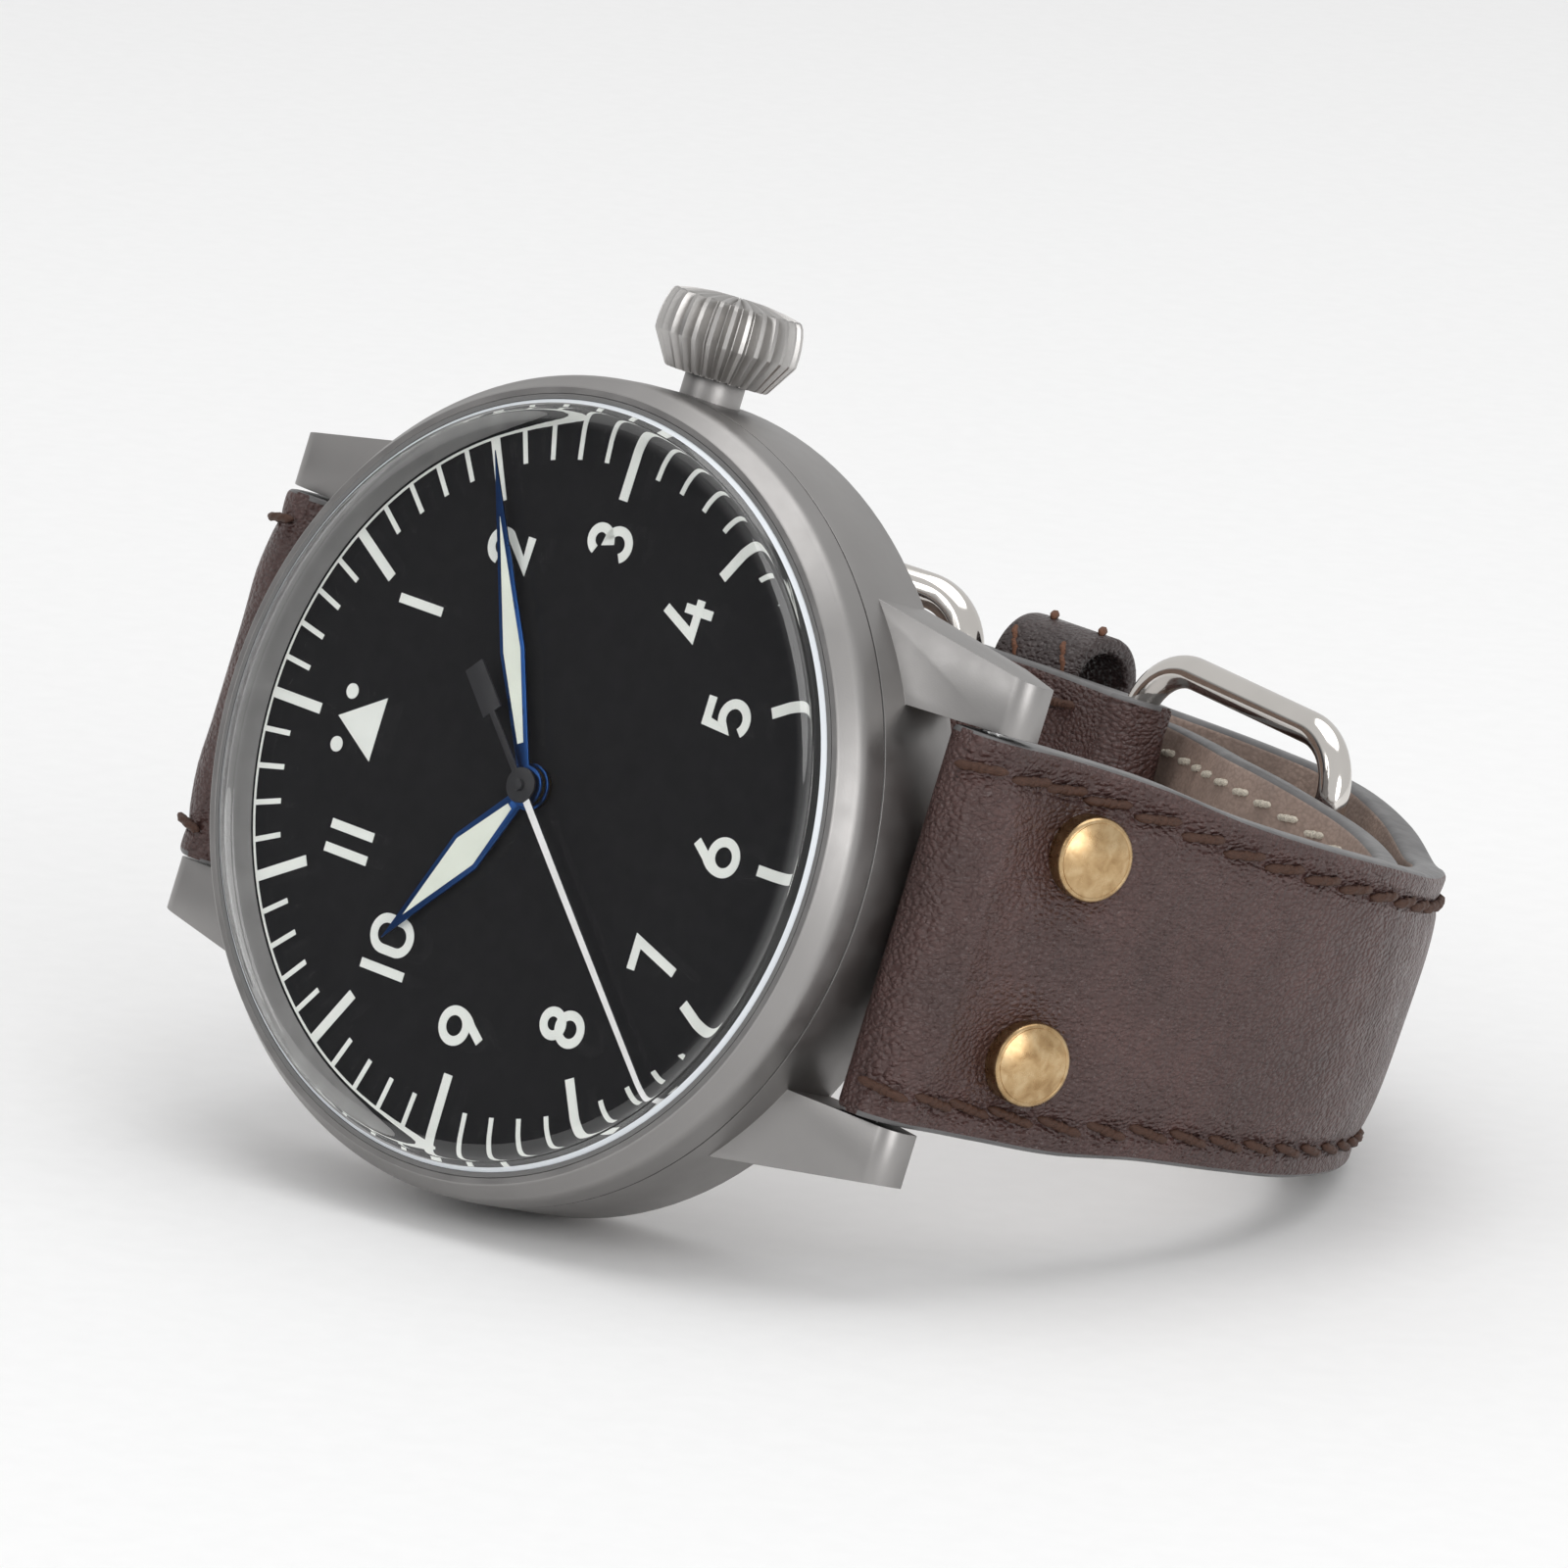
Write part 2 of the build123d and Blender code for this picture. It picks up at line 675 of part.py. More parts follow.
def hand_points(length, widest, half_width, hub, angle):
    """List the corners of a lozenge hand that starts inside its hub."""
    outline = [(0, -hand_waist), (widest, -half_width), (length, 0), (widest, half_width), (0, hand_waist)]
    swing = math.radians(180 - angle)
    turned = []
    for along, aside in outline:
        turned.append((along * math.cos(swing) - aside * math.sin(swing),
                       along * math.sin(swing) + aside * math.cos(swing)))
    return turned


# Hour and minute hands: lozenge blades on a round hub.
with BuildPart() as hour_hand:
    with BuildSketch(dial_plane.offset(hour_hand_level)):
        Polygon(hand_points(hour_hand_length, hour_hand_widest, hour_hand_half_width, hour_hub_radius,
                            hour_hand_angle), align=None)
        Circle(hour_hub_radius)
        Circle(hour_tube_radius + gasket_gap, mode=Mode.SUBTRACT)
    extrude(amount=hand_thickness)
hour_hand.part.label = "hour_hand"
export_step(hour_hand.part, "parts/hour_hand.step")

with BuildPart() as minute_hand:
    with BuildSketch(dial_plane.offset(minute_hand_level)):
        Polygon(hand_points(minute_hand_length, minute_hand_widest, minute_hand_half_width,
                            minute_hub_radius, minute_hand_angle), align=None)
        Circle(minute_hub_radius)
        Circle(centre_tube_radius + gasket_gap, mode=Mode.SUBTRACT)
    extrude(amount=hand_thickness)
minute_hand.part.label = "minute_hand"
export_step(minute_hand.part, "parts/minute_hand.step")

# Seconds hand: thin pointer, tail and weight on a hub with a short cap.
with BuildPart() as seconds_hand:
    seconds_swing = math.radians(180 - seconds_hand_angle)
    seconds_plane = Plane(origin=at(0, 0, seconds_hand_level),
                          x_dir=six_way * math.cos(seconds_swing) + crown_way * math.sin(seconds_swing),
                          z_dir=dial_out)
    with BuildSketch(seconds_plane):
        Polygon([(0, -seconds_hand_half_width),
                 (seconds_hand_length, -seconds_hand_half_width * seconds_tip_share),
                 (seconds_hand_length, seconds_hand_half_width * seconds_tip_share),
                 (0, seconds_hand_half_width)], align=None)
        Circle(seconds_hub_radius)
        with BuildLine():
            Polyline((0, -seconds_tail_half_width), (-seconds_weight_start, -seconds_tail_half_width),
                     (-seconds_weight_start, -seconds_weight_half_width),
                     (-seconds_weight_end, -seconds_weight_half_width),
                     (-seconds_weight_end, seconds_weight_half_width),
                     (-seconds_weight_start, seconds_weight_half_width),
                     (-seconds_weight_start, seconds_tail_half_width),
                     (0, seconds_tail_half_width), close=True)
        make_face()
    extrude(amount=hand_thickness)
    with BuildSketch(seconds_plane):
        Circle(hand_bore_radius)
    extrude(amount=seconds_cap_height)
    with BuildSketch(seconds_plane):
        Circle(seconds_arbor_radius)
    extrude(amount=hand_thickness, mode=Mode.SUBTRACT)
seconds_hand.part.label = "seconds_hand"
export_step(seconds_hand.part, "parts/seconds_hand.step")

arbor_hole_radius = arbor_radius + bearing_clearance
screw_hole_radius = screw_radius + bearing_clearance
barrel_at = polar(barrel_place, barrel_angle)
third_at = polar(third_place, third_angle)
escape_at = polar(escape_place, escape_angle)
fork_at = polar(fork_place, escape_angle)
balance_at = polar(balance_place, escape_angle)
crown_wheel_at = polar(crown_wheel_place, crown_wheel_angle)

# Main plate: recess for the motion work, bearings, stem blocks and a post.
with BuildPart() as main_plate:
    with BuildSketch(dial_plane.offset(plate_top)):
        Circle(movement_radius)
    extrude(amount=plate_rear - plate_top)
    with BuildSketch(dial_plane.offset(plate_top)):
        Circle(recess_radius)
        with Locations((0, minute_wheel_place)):
            Circle(recess_side_radius)
    extrude(amount=plate_recess - plate_top, mode=Mode.SUBTRACT)
    with BuildSketch(dial_plane.offset(plate_recess)):
        with Locations((0, minute_wheel_place)):
            Circle(minute_post_radius)
    extrude(amount=minute_post_top - plate_recess)
    with BuildSketch(dial_plane.offset(plate_rear)):
        Circle(centre_tube_radius + bearing_clearance)
        with Locations(third_at, escape_at, fork_at, balance_at):
            RegularPolygon(arbor_hole_radius, small_sides, major_radius=False)
        with Locations(barrel_at):
            Circle(barrel_pivot_radius + bearing_clearance)
        with PolarLocations(dial_foot_place, 2, start_angle=dial_foot_angle):
            Circle(dial_foot_radius + bearing_clearance)
    extrude(amount=plate_top - plate_rear, mode=Mode.SUBTRACT)
    with BuildSketch(crown_plane.offset(bearing_block_start)):
        with Locations((0, crown_depth - plate_rear)):
            Rectangle(2 * bearing_block_half_width, plate_rear - bearing_block_rear,
                      align=(Align.CENTER, Align.MIN))
        Circle(stem_radius + bearing_clearance, mode=Mode.SUBTRACT)
    extrude(amount=bearing_block_end - bearing_block_start)
    with BuildSketch(crown_plane.offset(pivot_block_start)):
        with Locations((0, crown_depth - plate_rear)):
            Rectangle(2 * pivot_block_half_width, plate_rear - bearing_block_rear,
                      align=(Align.CENTER, Align.MIN))
        Circle(stem_pivot_radius + bearing_clearance, mode=Mode.SUBTRACT)
    extrude(amount=pivot_block_end - pivot_block_start)
main_plate.part.label = "main_plate"
export_step(main_plate.part, "parts/main_plate.step")

# Cannon pinion: the tube that carries the minute hand.
with BuildPart() as cannon_pinion:
    with BuildSketch(dial_plane.offset(cannon_pinion_rear)):
        Circle(centre_tube_radius)
        Circle(hand_bore_radius, mode=Mode.SUBTRACT)
    extrude(amount=minute_hand_level + hand_thickness - cannon_pinion_rear)
    with BuildSketch(dial_plane.offset(cannon_pinion_rear)):
        Polygon(tooth_points(cannon_pinion_radius, cannon_teeth), align=None)
        Circle(hand_bore_radius, mode=Mode.SUBTRACT)
    extrude(amount=cannon_pinion_front - cannon_pinion_rear)
cannon_pinion.part.label = "cannon_pinion"
export_step(cannon_pinion.part, "parts/cannon_pinion.step")

# Hour wheel: the outer tube that carries the hour hand.
with BuildPart() as hour_wheel:
    with BuildSketch(dial_plane.offset(hour_wheel_front)):
        Polygon(tooth_points(hour_wheel_radius, hour_wheel_teeth), align=None)
        Circle(hour_tube_inner, mode=Mode.SUBTRACT)
    extrude(amount=hour_wheel_rear - hour_wheel_front)
    with BuildSketch(dial_plane.offset(hour_wheel_front)):
        Circle(hour_tube_radius)
        Circle(hour_tube_inner, mode=Mode.SUBTRACT)
    extrude(amount=hour_hand_level + hand_thickness - hour_wheel_front)
hour_wheel.part.label = "hour_wheel"
export_step(hour_wheel.part, "parts/hour_wheel.step")

# Minute wheel and its pinion turn on the main plate's post.
with BuildPart() as minute_wheel:
    with BuildSketch(dial_plane.offset(minute_wheel_front)):
        Polygon(tooth_points(minute_wheel_radius, minute_wheel_teeth, (0, minute_wheel_place)), align=None)
        with Locations((0, minute_wheel_place)):
            Circle(minute_post_radius + bearing_clearance, mode=Mode.SUBTRACT)
    extrude(amount=-wheel_thickness)
    with BuildSketch(dial_plane.offset(minute_wheel_front)):
        Polygon(tooth_points(minute_pinion_radius, minute_pinion_teeth, (0, minute_wheel_place)), align=None)
        with Locations((0, minute_wheel_place)):
            Circle(minute_post_radius + bearing_clearance, mode=Mode.SUBTRACT)
    extrude(amount=hour_wheel_front - minute_wheel_front)
minute_wheel.part.label = "minute_wheel"
export_step(minute_wheel.part, "parts/minute_wheel.step")

# Mainspring barrel: a toothed drum, its cover and its arbor.
with BuildPart() as mainspring_barrel:
    with BuildSketch(dial_plane.offset(barrel_front)):
        Polygon(tooth_points(barrel_rim_radius, barrel_teeth, barrel_at), align=None)
    extrude(amount=barrel_rim_rear - barrel_front)
    with BuildSketch(dial_plane.offset(barrel_front)):
        with Locations(barrel_at):
            Circle(barrel_radius)
    extrude(amount=barrel_rear - barrel_front)
    with BuildSketch(dial_plane.offset(barrel_front - barrel_wall)):
        with Locations(barrel_at):
            Circle(barrel_radius - barrel_wall)
            Circle(barrel_arbor_radius, mode=Mode.SUBTRACT)
    extrude(amount=barrel_rear - barrel_front + 2 * barrel_wall, mode=Mode.SUBTRACT)
    with BuildSketch(dial_plane.offset(barrel_front)):
        with Locations(barrel_at):
            Circle(barrel_pivot_radius + bearing_clearance)
    extrude(amount=barrel_rear - barrel_front, mode=Mode.SUBTRACT)
mainspring_barrel.part.label = "mainspring_barrel"
export_step(mainspring_barrel.part, "parts/mainspring_barrel.step")

# Centre wheel: hollow arbor and pinion that the cannon pinion sits on.
with BuildPart() as centre_wheel:
    with BuildSketch(dial_plane.offset(centre_wheel_front)):
        Polygon(tooth_points(centre_wheel_radius, centre_wheel_teeth), align=None)
        Circle(hand_bore_radius, mode=Mode.SUBTRACT)
    extrude(amount=-wheel_thickness)
    with BuildSketch(dial_plane.offset(cannon_pinion_rear)):
        Circle(centre_tube_radius)
        Circle(hand_bore_radius, mode=Mode.SUBTRACT)
    extrude(amount=centre_wheel_front - cannon_pinion_rear)
    with BuildSketch(dial_plane.offset(centre_pinion_front)):
        Polygon(tooth_points(centre_pinion_radius, centre_pinion_teeth), align=None)
        Circle(hand_bore_radius, mode=Mode.SUBTRACT)
    extrude(amount=centre_pinion_rear - centre_pinion_front)
centre_wheel.part.label = "centre_wheel"
export_step(centre_wheel.part, "parts/centre_wheel.step")

# Third wheel with its pinion and arbor.
with BuildPart() as third_wheel:
    with BuildSketch(dial_plane.offset(third_wheel_front)):
        Polygon(tooth_points(third_wheel_radius, third_wheel_teeth, third_at), align=None)
    extrude(amount=-wheel_thickness)
    with BuildSketch(dial_plane.offset(third_pinion_front)):
        Polygon(tooth_points(third_pinion_radius, small_pinion_teeth, third_at), align=None)
    extrude(amount=third_pinion_rear - third_pinion_front)
    with BuildSketch(dial_plane.offset(plate_recess)):
        with Locations(third_at):
            RegularPolygon(arbor_radius, small_sides)
    extrude(amount=bridge_rear - plate_recess)
third_wheel.part.label = "third_wheel"
export_step(third_wheel.part, "parts/third_wheel.step")

# Fourth wheel: its long arbor runs through the centre to the seconds hand.
with BuildPart() as fourth_wheel:
    with BuildSketch(dial_plane.offset(fourth_wheel_front)):
        Polygon(tooth_points(fourth_wheel_radius, fourth_wheel_teeth), align=None)
    extrude(amount=-wheel_thickness)
    with BuildSketch(dial_plane.offset(fourth_pinion_front)):
        Polygon(tooth_points(fourth_pinion_radius, small_pinion_teeth), align=None)
    extrude(amount=fourth_pinion_rear - fourth_pinion_front)
    with BuildSketch(dial_plane.offset(seconds_hand_level + hand_thickness)):
        Circle(seconds_arbor_radius)
    extrude(amount=bridge_rear - seconds_hand_level - hand_thickness)
fourth_wheel.part.label = "fourth_wheel"
export_step(fourth_wheel.part, "parts/fourth_wheel.step")

# Escape wheel: fifteen raked teeth, pinion and arbor.
with BuildPart() as escape_wheel:
    with BuildSketch(dial_plane.offset(escape_front)):
        hooked = []
        for tooth in range(escape_teeth):
            tip_angle = 360 * tooth / escape_teeth
            for radius, offset in ((escape_valley_radius, -360 / escape_teeth / 2), (escape_radius, 0),
                                   (escape_valley_radius, 0)):
                spot = polar(radius, tip_angle + offset)
                hooked.append((escape_at[0] + spot[0], escape_at[1] + spot[1]))
        Polygon(hooked, align=None)
    extrude(amount=-wheel_thickness)
    with BuildSketch(dial_plane.offset(escape_pinion_front)):
        Polygon(tooth_points(escape_pinion_radius, small_pinion_teeth, escape_at), align=None)
    extrude(amount=escape_pinion_rear - escape_pinion_front)
    with BuildSketch(dial_plane.offset(plate_recess)):
        with Locations(escape_at):
            RegularPolygon(arbor_radius, small_sides)
    extrude(amount=bridge_rear - plate_recess)
escape_wheel.part.label = "escape_wheel"
export_step(escape_wheel.part, "parts/escape_wheel.step")

# Pallet fork: two arms beside the escape wheel and a lever to the balance.
fork_plane = Plane(origin=at(fork_at[0], fork_at[1], escape_front),
                   x_dir=six_way * math.cos(math.radians(escape_angle))
                   + crown_way * math.sin(math.radians(escape_angle)), z_dir=dial_out)
with BuildPart() as pallet_fork:
    with BuildSketch(fork_plane):
        Rectangle(2 * fork_arm_half_width, 2 * fork_half_span)
        Rectangle(fork_reach, 2 * fork_arm_half_width, align=(Align.MIN, Align.CENTER))
        with Locations((0, -fork_half_span), (0, fork_half_span)):
            Circle(fork_pallet_radius)
    extrude(amount=-wheel_thickness)
    with BuildSketch(fork_plane.offset(plate_recess - escape_front)):
        RegularPolygon(arbor_radius, small_sides)
    extrude(amount=fork_arbor_rear - plate_recess)
pallet_fork.part.label = "pallet_fork"
export_step(pallet_fork.part, "parts/pallet_fork.step")

# Balance wheel: rim, four spokes, staff and roller.
with BuildPart() as balance_wheel:
    with BuildSketch(dial_plane.offset(balance_front)):
        with Locations(balance_at):
            Circle(balance_radius)
            Circle(balance_radius - balance_rim_width, mode=Mode.SUBTRACT)
            Rectangle(2 * balance_radius - balance_rim_width, 2 * balance_spoke_half_width)
            Rectangle(2 * balance_spoke_half_width, 2 * balance_radius - balance_rim_width)
            Circle(balance_hub_radius)
    extrude(amount=balance_rear - balance_front)
    with BuildSketch(dial_plane.offset(balance_roller_front)):
        with Locations(balance_at):
            Circle(balance_roller_radius)
    extrude(amount=balance_roller_rear - balance_roller_front)
    with BuildSketch(dial_plane.offset(plate_recess)):
        with Locations(balance_at):
            RegularPolygon(arbor_radius, small_sides)
    extrude(amount=bridge_rear - plate_recess)
balance_wheel.part.label = "balance_wheel"
export_step(balance_wheel.part, "parts/balance_wheel.step")

# Barrel bridge: a curved plate on three feet, with the barrel arbor's hole.
with BuildPart() as barrel_bridge:
    with BuildSketch(dial_plane.offset(bridge_front)):
        with BuildLine():
            for angle in barrel_feet:
                CenterArc(polar(foot_place, angle), foot_radius, 0, 360)
            CenterArc(crown_wheel_at, crown_wheel_hub_radius, 0, 360)
        make_hull()
        with Locations(barrel_at):
            Circle(barrel_pivot_radius + bearing_clearance, mode=Mode.SUBTRACT)
        with Locations(crown_wheel_at):
            RegularPolygon(screw_hole_radius, small_sides, major_radius=False, mode=Mode.SUBTRACT)
        with Locations(*[polar(foot_place, angle) for angle in barrel_feet]):
            RegularPolygon(screw_hole_radius, small_sides, major_radius=False, mode=Mode.SUBTRACT)
    extrude(amount=bridge_rear - bridge_front)
    with BuildSketch(dial_plane.offset(plate_rear)):
        with Locations(*[polar(foot_place, angle) for angle in barrel_feet]):
            Circle(foot_radius)
            RegularPolygon(screw_hole_radius, small_sides, major_radius=False, mode=Mode.SUBTRACT)
    extrude(amount=bridge_front - plate_rear)
barrel_bridge.part.label = "barrel_bridge"
export_step(barrel_bridge.part, "parts/barrel_bridge.step")

# Train bridge: carries the centre, third and escape arbors.
with BuildPart() as train_bridge:
    with BuildSketch(dial_plane.offset(bridge_front)):
        with BuildLine():
            for angle in train_feet:
                CenterArc(polar(foot_place, angle), foot_radius, 0, 360)
            CenterArc((0, 0), bridge_hub_radius, 0, 360)
            CenterArc(escape_at, crown_wheel_hub_radius, 0, 360)
        make_hull()
        RegularPolygon(arbor_hole_radius, small_sides, major_radius=False, mode=Mode.SUBTRACT)
        with Locations(third_at, escape_at):
            RegularPolygon(arbor_hole_radius, small_sides, major_radius=False, mode=Mode.SUBTRACT)
        with Locations(*[polar(foot_place, angle) for angle in train_feet]):
            RegularPolygon(screw_hole_radius, small_sides, major_radius=False, mode=Mode.SUBTRACT)
    extrude(amount=bridge_rear - bridge_front)
    with BuildSketch(dial_plane.offset(plate_rear)):
        with Locations(*[polar(foot_place, angle) for angle in train_feet]):
            Circle(foot_radius)
            RegularPolygon(screw_hole_radius, small_sides, major_radius=False, mode=Mode.SUBTRACT)
    extrude(amount=bridge_front - plate_rear)
train_bridge.part.label = "train_bridge"
export_step(train_bridge.part, "parts/train_bridge.step")

# Balance cock: one foot, reaching over the balance.
with BuildPart() as balance_cock:
    with BuildSketch(dial_plane.offset(bridge_front)):
        with BuildLine():
            CenterArc(polar(foot_place, cock_foot), foot_radius, 0, 360)
            CenterArc(balance_at, cock_radius, 0, 360)
            CenterArc(fork_at, crown_wheel_hub_radius, 0, 360)
        make_hull()
        with Locations(balance_at):
            RegularPolygon(arbor_hole_radius, small_sides, major_radius=False, mode=Mode.SUBTRACT)
        with Locations(polar(foot_place, cock_foot)):
            RegularPolygon(screw_hole_radius, small_sides, major_radius=False, mode=Mode.SUBTRACT)
    extrude(amount=bridge_rear - bridge_front)
    with BuildSketch(dial_plane.offset(plate_rear)):
        with Locations(polar(foot_place, cock_foot)):
            Circle(foot_radius)
            RegularPolygon(screw_hole_radius, small_sides, major_radius=False, mode=Mode.SUBTRACT)
    extrude(amount=bridge_front - plate_rear)
balance_cock.part.label = "balance_cock"
export_step(balance_cock.part, "parts/balance_cock.step")

# Pallet bridge: a small plate on one foot over the pallet fork.
with BuildPart() as pallet_bridge:
    with BuildSketch(dial_plane.offset(pallet_bridge_front)):
        with BuildLine():
            CenterArc(polar(pallet_foot_place, pallet_foot_angle), pallet_foot_radius, 0, 360)
            CenterArc(fork_at, pallet_foot_radius, 0, 360)
        make_hull()
        with Locations(fork_at):
            RegularPolygon(arbor_hole_radius, small_sides, major_radius=False, mode=Mode.SUBTRACT)
    extrude(amount=pallet_bridge_rear - pallet_bridge_front)
    with BuildSketch(dial_plane.offset(plate_rear)):
        with Locations(polar(pallet_foot_place, pallet_foot_angle)):
            Circle(pallet_foot_radius)
    extrude(amount=pallet_bridge_front - plate_rear)
pallet_bridge.part.label = "pallet_bridge"
export_step(pallet_bridge.part, "parts/pallet_bridge.step")

# Bridge screws: slotted cheese heads, one for each foot.
with BuildPart() as bridge_screws:
    screw_places = [polar(foot_place, angle) for angle in barrel_feet + train_feet + [cock_foot]]
    with BuildSketch(dial_plane.offset(bridge_rear)):
        with Locations(*screw_places):
            Circle(screw_head_radius)
    extrude(amount=screw_head_rear - bridge_rear)
    with BuildSketch(dial_plane.offset(bridge_rear)):
        with Locations(*screw_places):
            RegularPolygon(screw_radius, small_sides)
    extrude(amount=screw_length)
    with BuildSketch(dial_plane.offset(screw_head_rear)):
        with Locations(*screw_places):
            Rectangle(2 * screw_head_radius, slot_width)
    extrude(amount=slot_depth, mode=Mode.SUBTRACT)
bridge_screws.part.label = "bridge_screws"
export_step(bridge_screws.part, "parts/bridge_screws.step")

# Ratchet wheel on the barrel arbor, above the barrel bridge.
with BuildPart() as ratchet_wheel:
    with BuildSketch(dial_plane.offset(ratchet_front)):
        Polygon(tooth_points(ratchet_radius, ratchet_teeth, barrel_at), align=None)
    extrude(amount=ratchet_rear - ratchet_front)
    with BuildSketch(dial_plane.offset(plate_recess)):
        with Locations(barrel_at):
            Circle(barrel_pivot_radius)
    extrude(amount=ratchet_front - plate_recess)
ratchet_wheel.part.label = "ratchet_wheel"
export_step(ratchet_wheel.part, "parts/ratchet_wheel.step")

# Crown wheel: turns on a stud in the barrel bridge beside the ratchet wheel.
with BuildPart() as crown_wheel:
    with BuildSketch(dial_plane.offset(ratchet_front)):
        Polygon(tooth_points(crown_wheel_radius, crown_wheel_teeth, crown_wheel_at), align=None)
    extrude(amount=ratchet_rear - ratchet_front)
    with BuildSketch(dial_plane.offset(bridge_front)):
        with Locations(crown_wheel_at):
            RegularPolygon(screw_radius, small_sides)
    extrude(amount=ratchet_front - bridge_front)
crown_wheel.part.label = "crown_wheel"
export_step(crown_wheel.part, "parts/crown_wheel.step")

# Winding and sliding pinions on the stem.
with BuildPart() as winding_pinion:
    with BuildSketch(crown_plane.offset(winding_pinion_start)):
        Polygon(tooth_points(keyless_radius, keyless_teeth), align=None)
        Circle(stem_radius + bearing_clearance, mode=Mode.SUBTRACT)
    extrude(amount=winding_pinion_end - winding_pinion_start)
winding_pinion.part.label = "winding_pinion"
export_step(winding_pinion.part, "parts/winding_pinion.step")

with BuildPart() as sliding_pinion:
    with BuildSketch(crown_plane.offset(sliding_pinion_start)):
        Polygon(tooth_points(keyless_radius, keyless_teeth), align=None)
        Circle(stem_radius + bearing_clearance, mode=Mode.SUBTRACT)
    extrude(amount=sliding_pinion_end - sliding_pinion_start)
sliding_pinion.part.label = "sliding_pinion"
export_step(sliding_pinion.part, "parts/sliding_pinion.step")

# Spring bars between the lugs, with a thin tip at each end.
bar_plane = Plane(origin=at(0, 0, bar_depth), x_dir=six_way, z_dir=crown_way)
with BuildPart() as spring_bar_12:
    with BuildSketch(bar_plane):
        with Locations((-bar_across, 0)):
            Circle(bar_radius)
    extrude(amount=bar_length / 2, both=True)
    with BuildSketch(bar_plane):
        with Locations((-bar_across, 0)):
            Circle(bar_tip_radius)
    extrude(amount=bar_length / 2 + bar_tip_length, both=True)
spring_bar_12.part.label = "spring_bar_12"
export_step(spring_bar_12.part, "parts/spring_bar_12.step")

with BuildPart() as spring_bar_6:
    with BuildSketch(bar_plane):
        with Locations((bar_across, 0)):
            Circle(bar_radius)
    extrude(amount=bar_length / 2, both=True)
    with BuildSketch(bar_plane):
        with Locations((bar_across, 0)):
            Circle(bar_tip_radius)
    extrude(amount=bar_length / 2 + bar_tip_length, both=True)
spring_bar_6.part.label = "spring_bar_6"
export_step(spring_bar_6.part, "parts/spring_bar_6.step")

# Planes shared by the strap, the buckle and the rivets.
buckle_rise = (table_height(buckle_across, buckle_depth + buckle_thickness / 2)
               + buckle_half_length + buckle_stand)
buckle_plane = Plane(origin=at(buckle_across, buckle_rise, -buckle_depth),
                     x_dir=six_way * math.cos(math.radians(buckle_tilt))
                     + dial_out * math.sin(math.radians(buckle_tilt)),
                     z_dir=dial_out * math.cos(math.radians(buckle_tilt))
                     - six_way * math.sin(math.radians(buckle_tilt)))
strap_plane = Plane(origin=at(0, buckle_rise, 0), x_dir=six_way, z_dir=crown_way)
buckle_bar = (buckle_half_width - buckle_wire / 2) * Vector(math.cos(math.radians(buckle_tilt)),
                                                           -math.sin(math.radians(buckle_tilt)), 0)
bar_place = (buckle_across + buckle_bar.X, buckle_depth + buckle_bar.Y)
slope = math.radians(rivet_slope)
rivet_plane_6 = Plane(origin=at(rivet_across, 0, -rivet_depth), x_dir=crown_way,
                      z_dir=six_way * math.cos(slope) + dial_out * math.sin(slope))
rivet_plane_12 = Plane(origin=at(-rivet_across, 0, -rivet_depth), x_dir=crown_way,
                       z_dir=dial_out * math.sin(slope) - six_way * math.cos(slope))

# Long strap: a loop round the lower spring bar, then a tapering leather band.
with BuildPart() as strap_long:
    for plane, thickness, width in strap_sections(long_stations):
        with BuildSketch(plane):
            Rectangle(thickness, width)
    loft()
    with BuildSketch(bar_plane):
        with Locations((bar_across, 0)):
            Circle(loop_radius)
    extrude(amount=long_stations[0][3], both=True)
    with BuildSketch(bar_plane):
        with Locations((bar_across, 0)):
            Circle(loop_hole_radius)
    extrude(amount=long_stations[0][3], both=True, mode=Mode.SUBTRACT)
    with BuildSketch(dial_plane):
        Circle(case_radius + strap_clearance)
    extrude(amount=relief_depth, mode=Mode.SUBTRACT)
    with BuildSketch(rivet_plane_6):
        with Locations((-rivet_spacing / 2, 0), (rivet_spacing / 2, 0)):
            Circle(rivet_hole_radius)
    extrude(amount=-2 * rivet_grip, mode=Mode.SUBTRACT)
    with BuildSketch(strap_plane):
        with Locations((pin_hole_across, pin_tip_depth)):
            Rectangle(2 * pin_hole_reach, 2 * buckle_wire)
    extrude(amount=pin_slot_half_width, both=True, mode=Mode.SUBTRACT)
strap_long.part.label = "strap_long"
export_step(strap_long.part, "parts/strap_long.step")

# Inner tongue: the lined ply inside the long strap, out through the slider ring.
with BuildPart() as strap_inner_tongue:
    for plane, thickness, width in strap_sections(tongue_stations):
        with BuildSketch(plane):
            Rectangle(thickness, width)
    loft()
strap_inner_tongue.part.label = "strap_inner_tongue"
export_step(strap_inner_tongue.part, "parts/strap_inner_tongue.step")

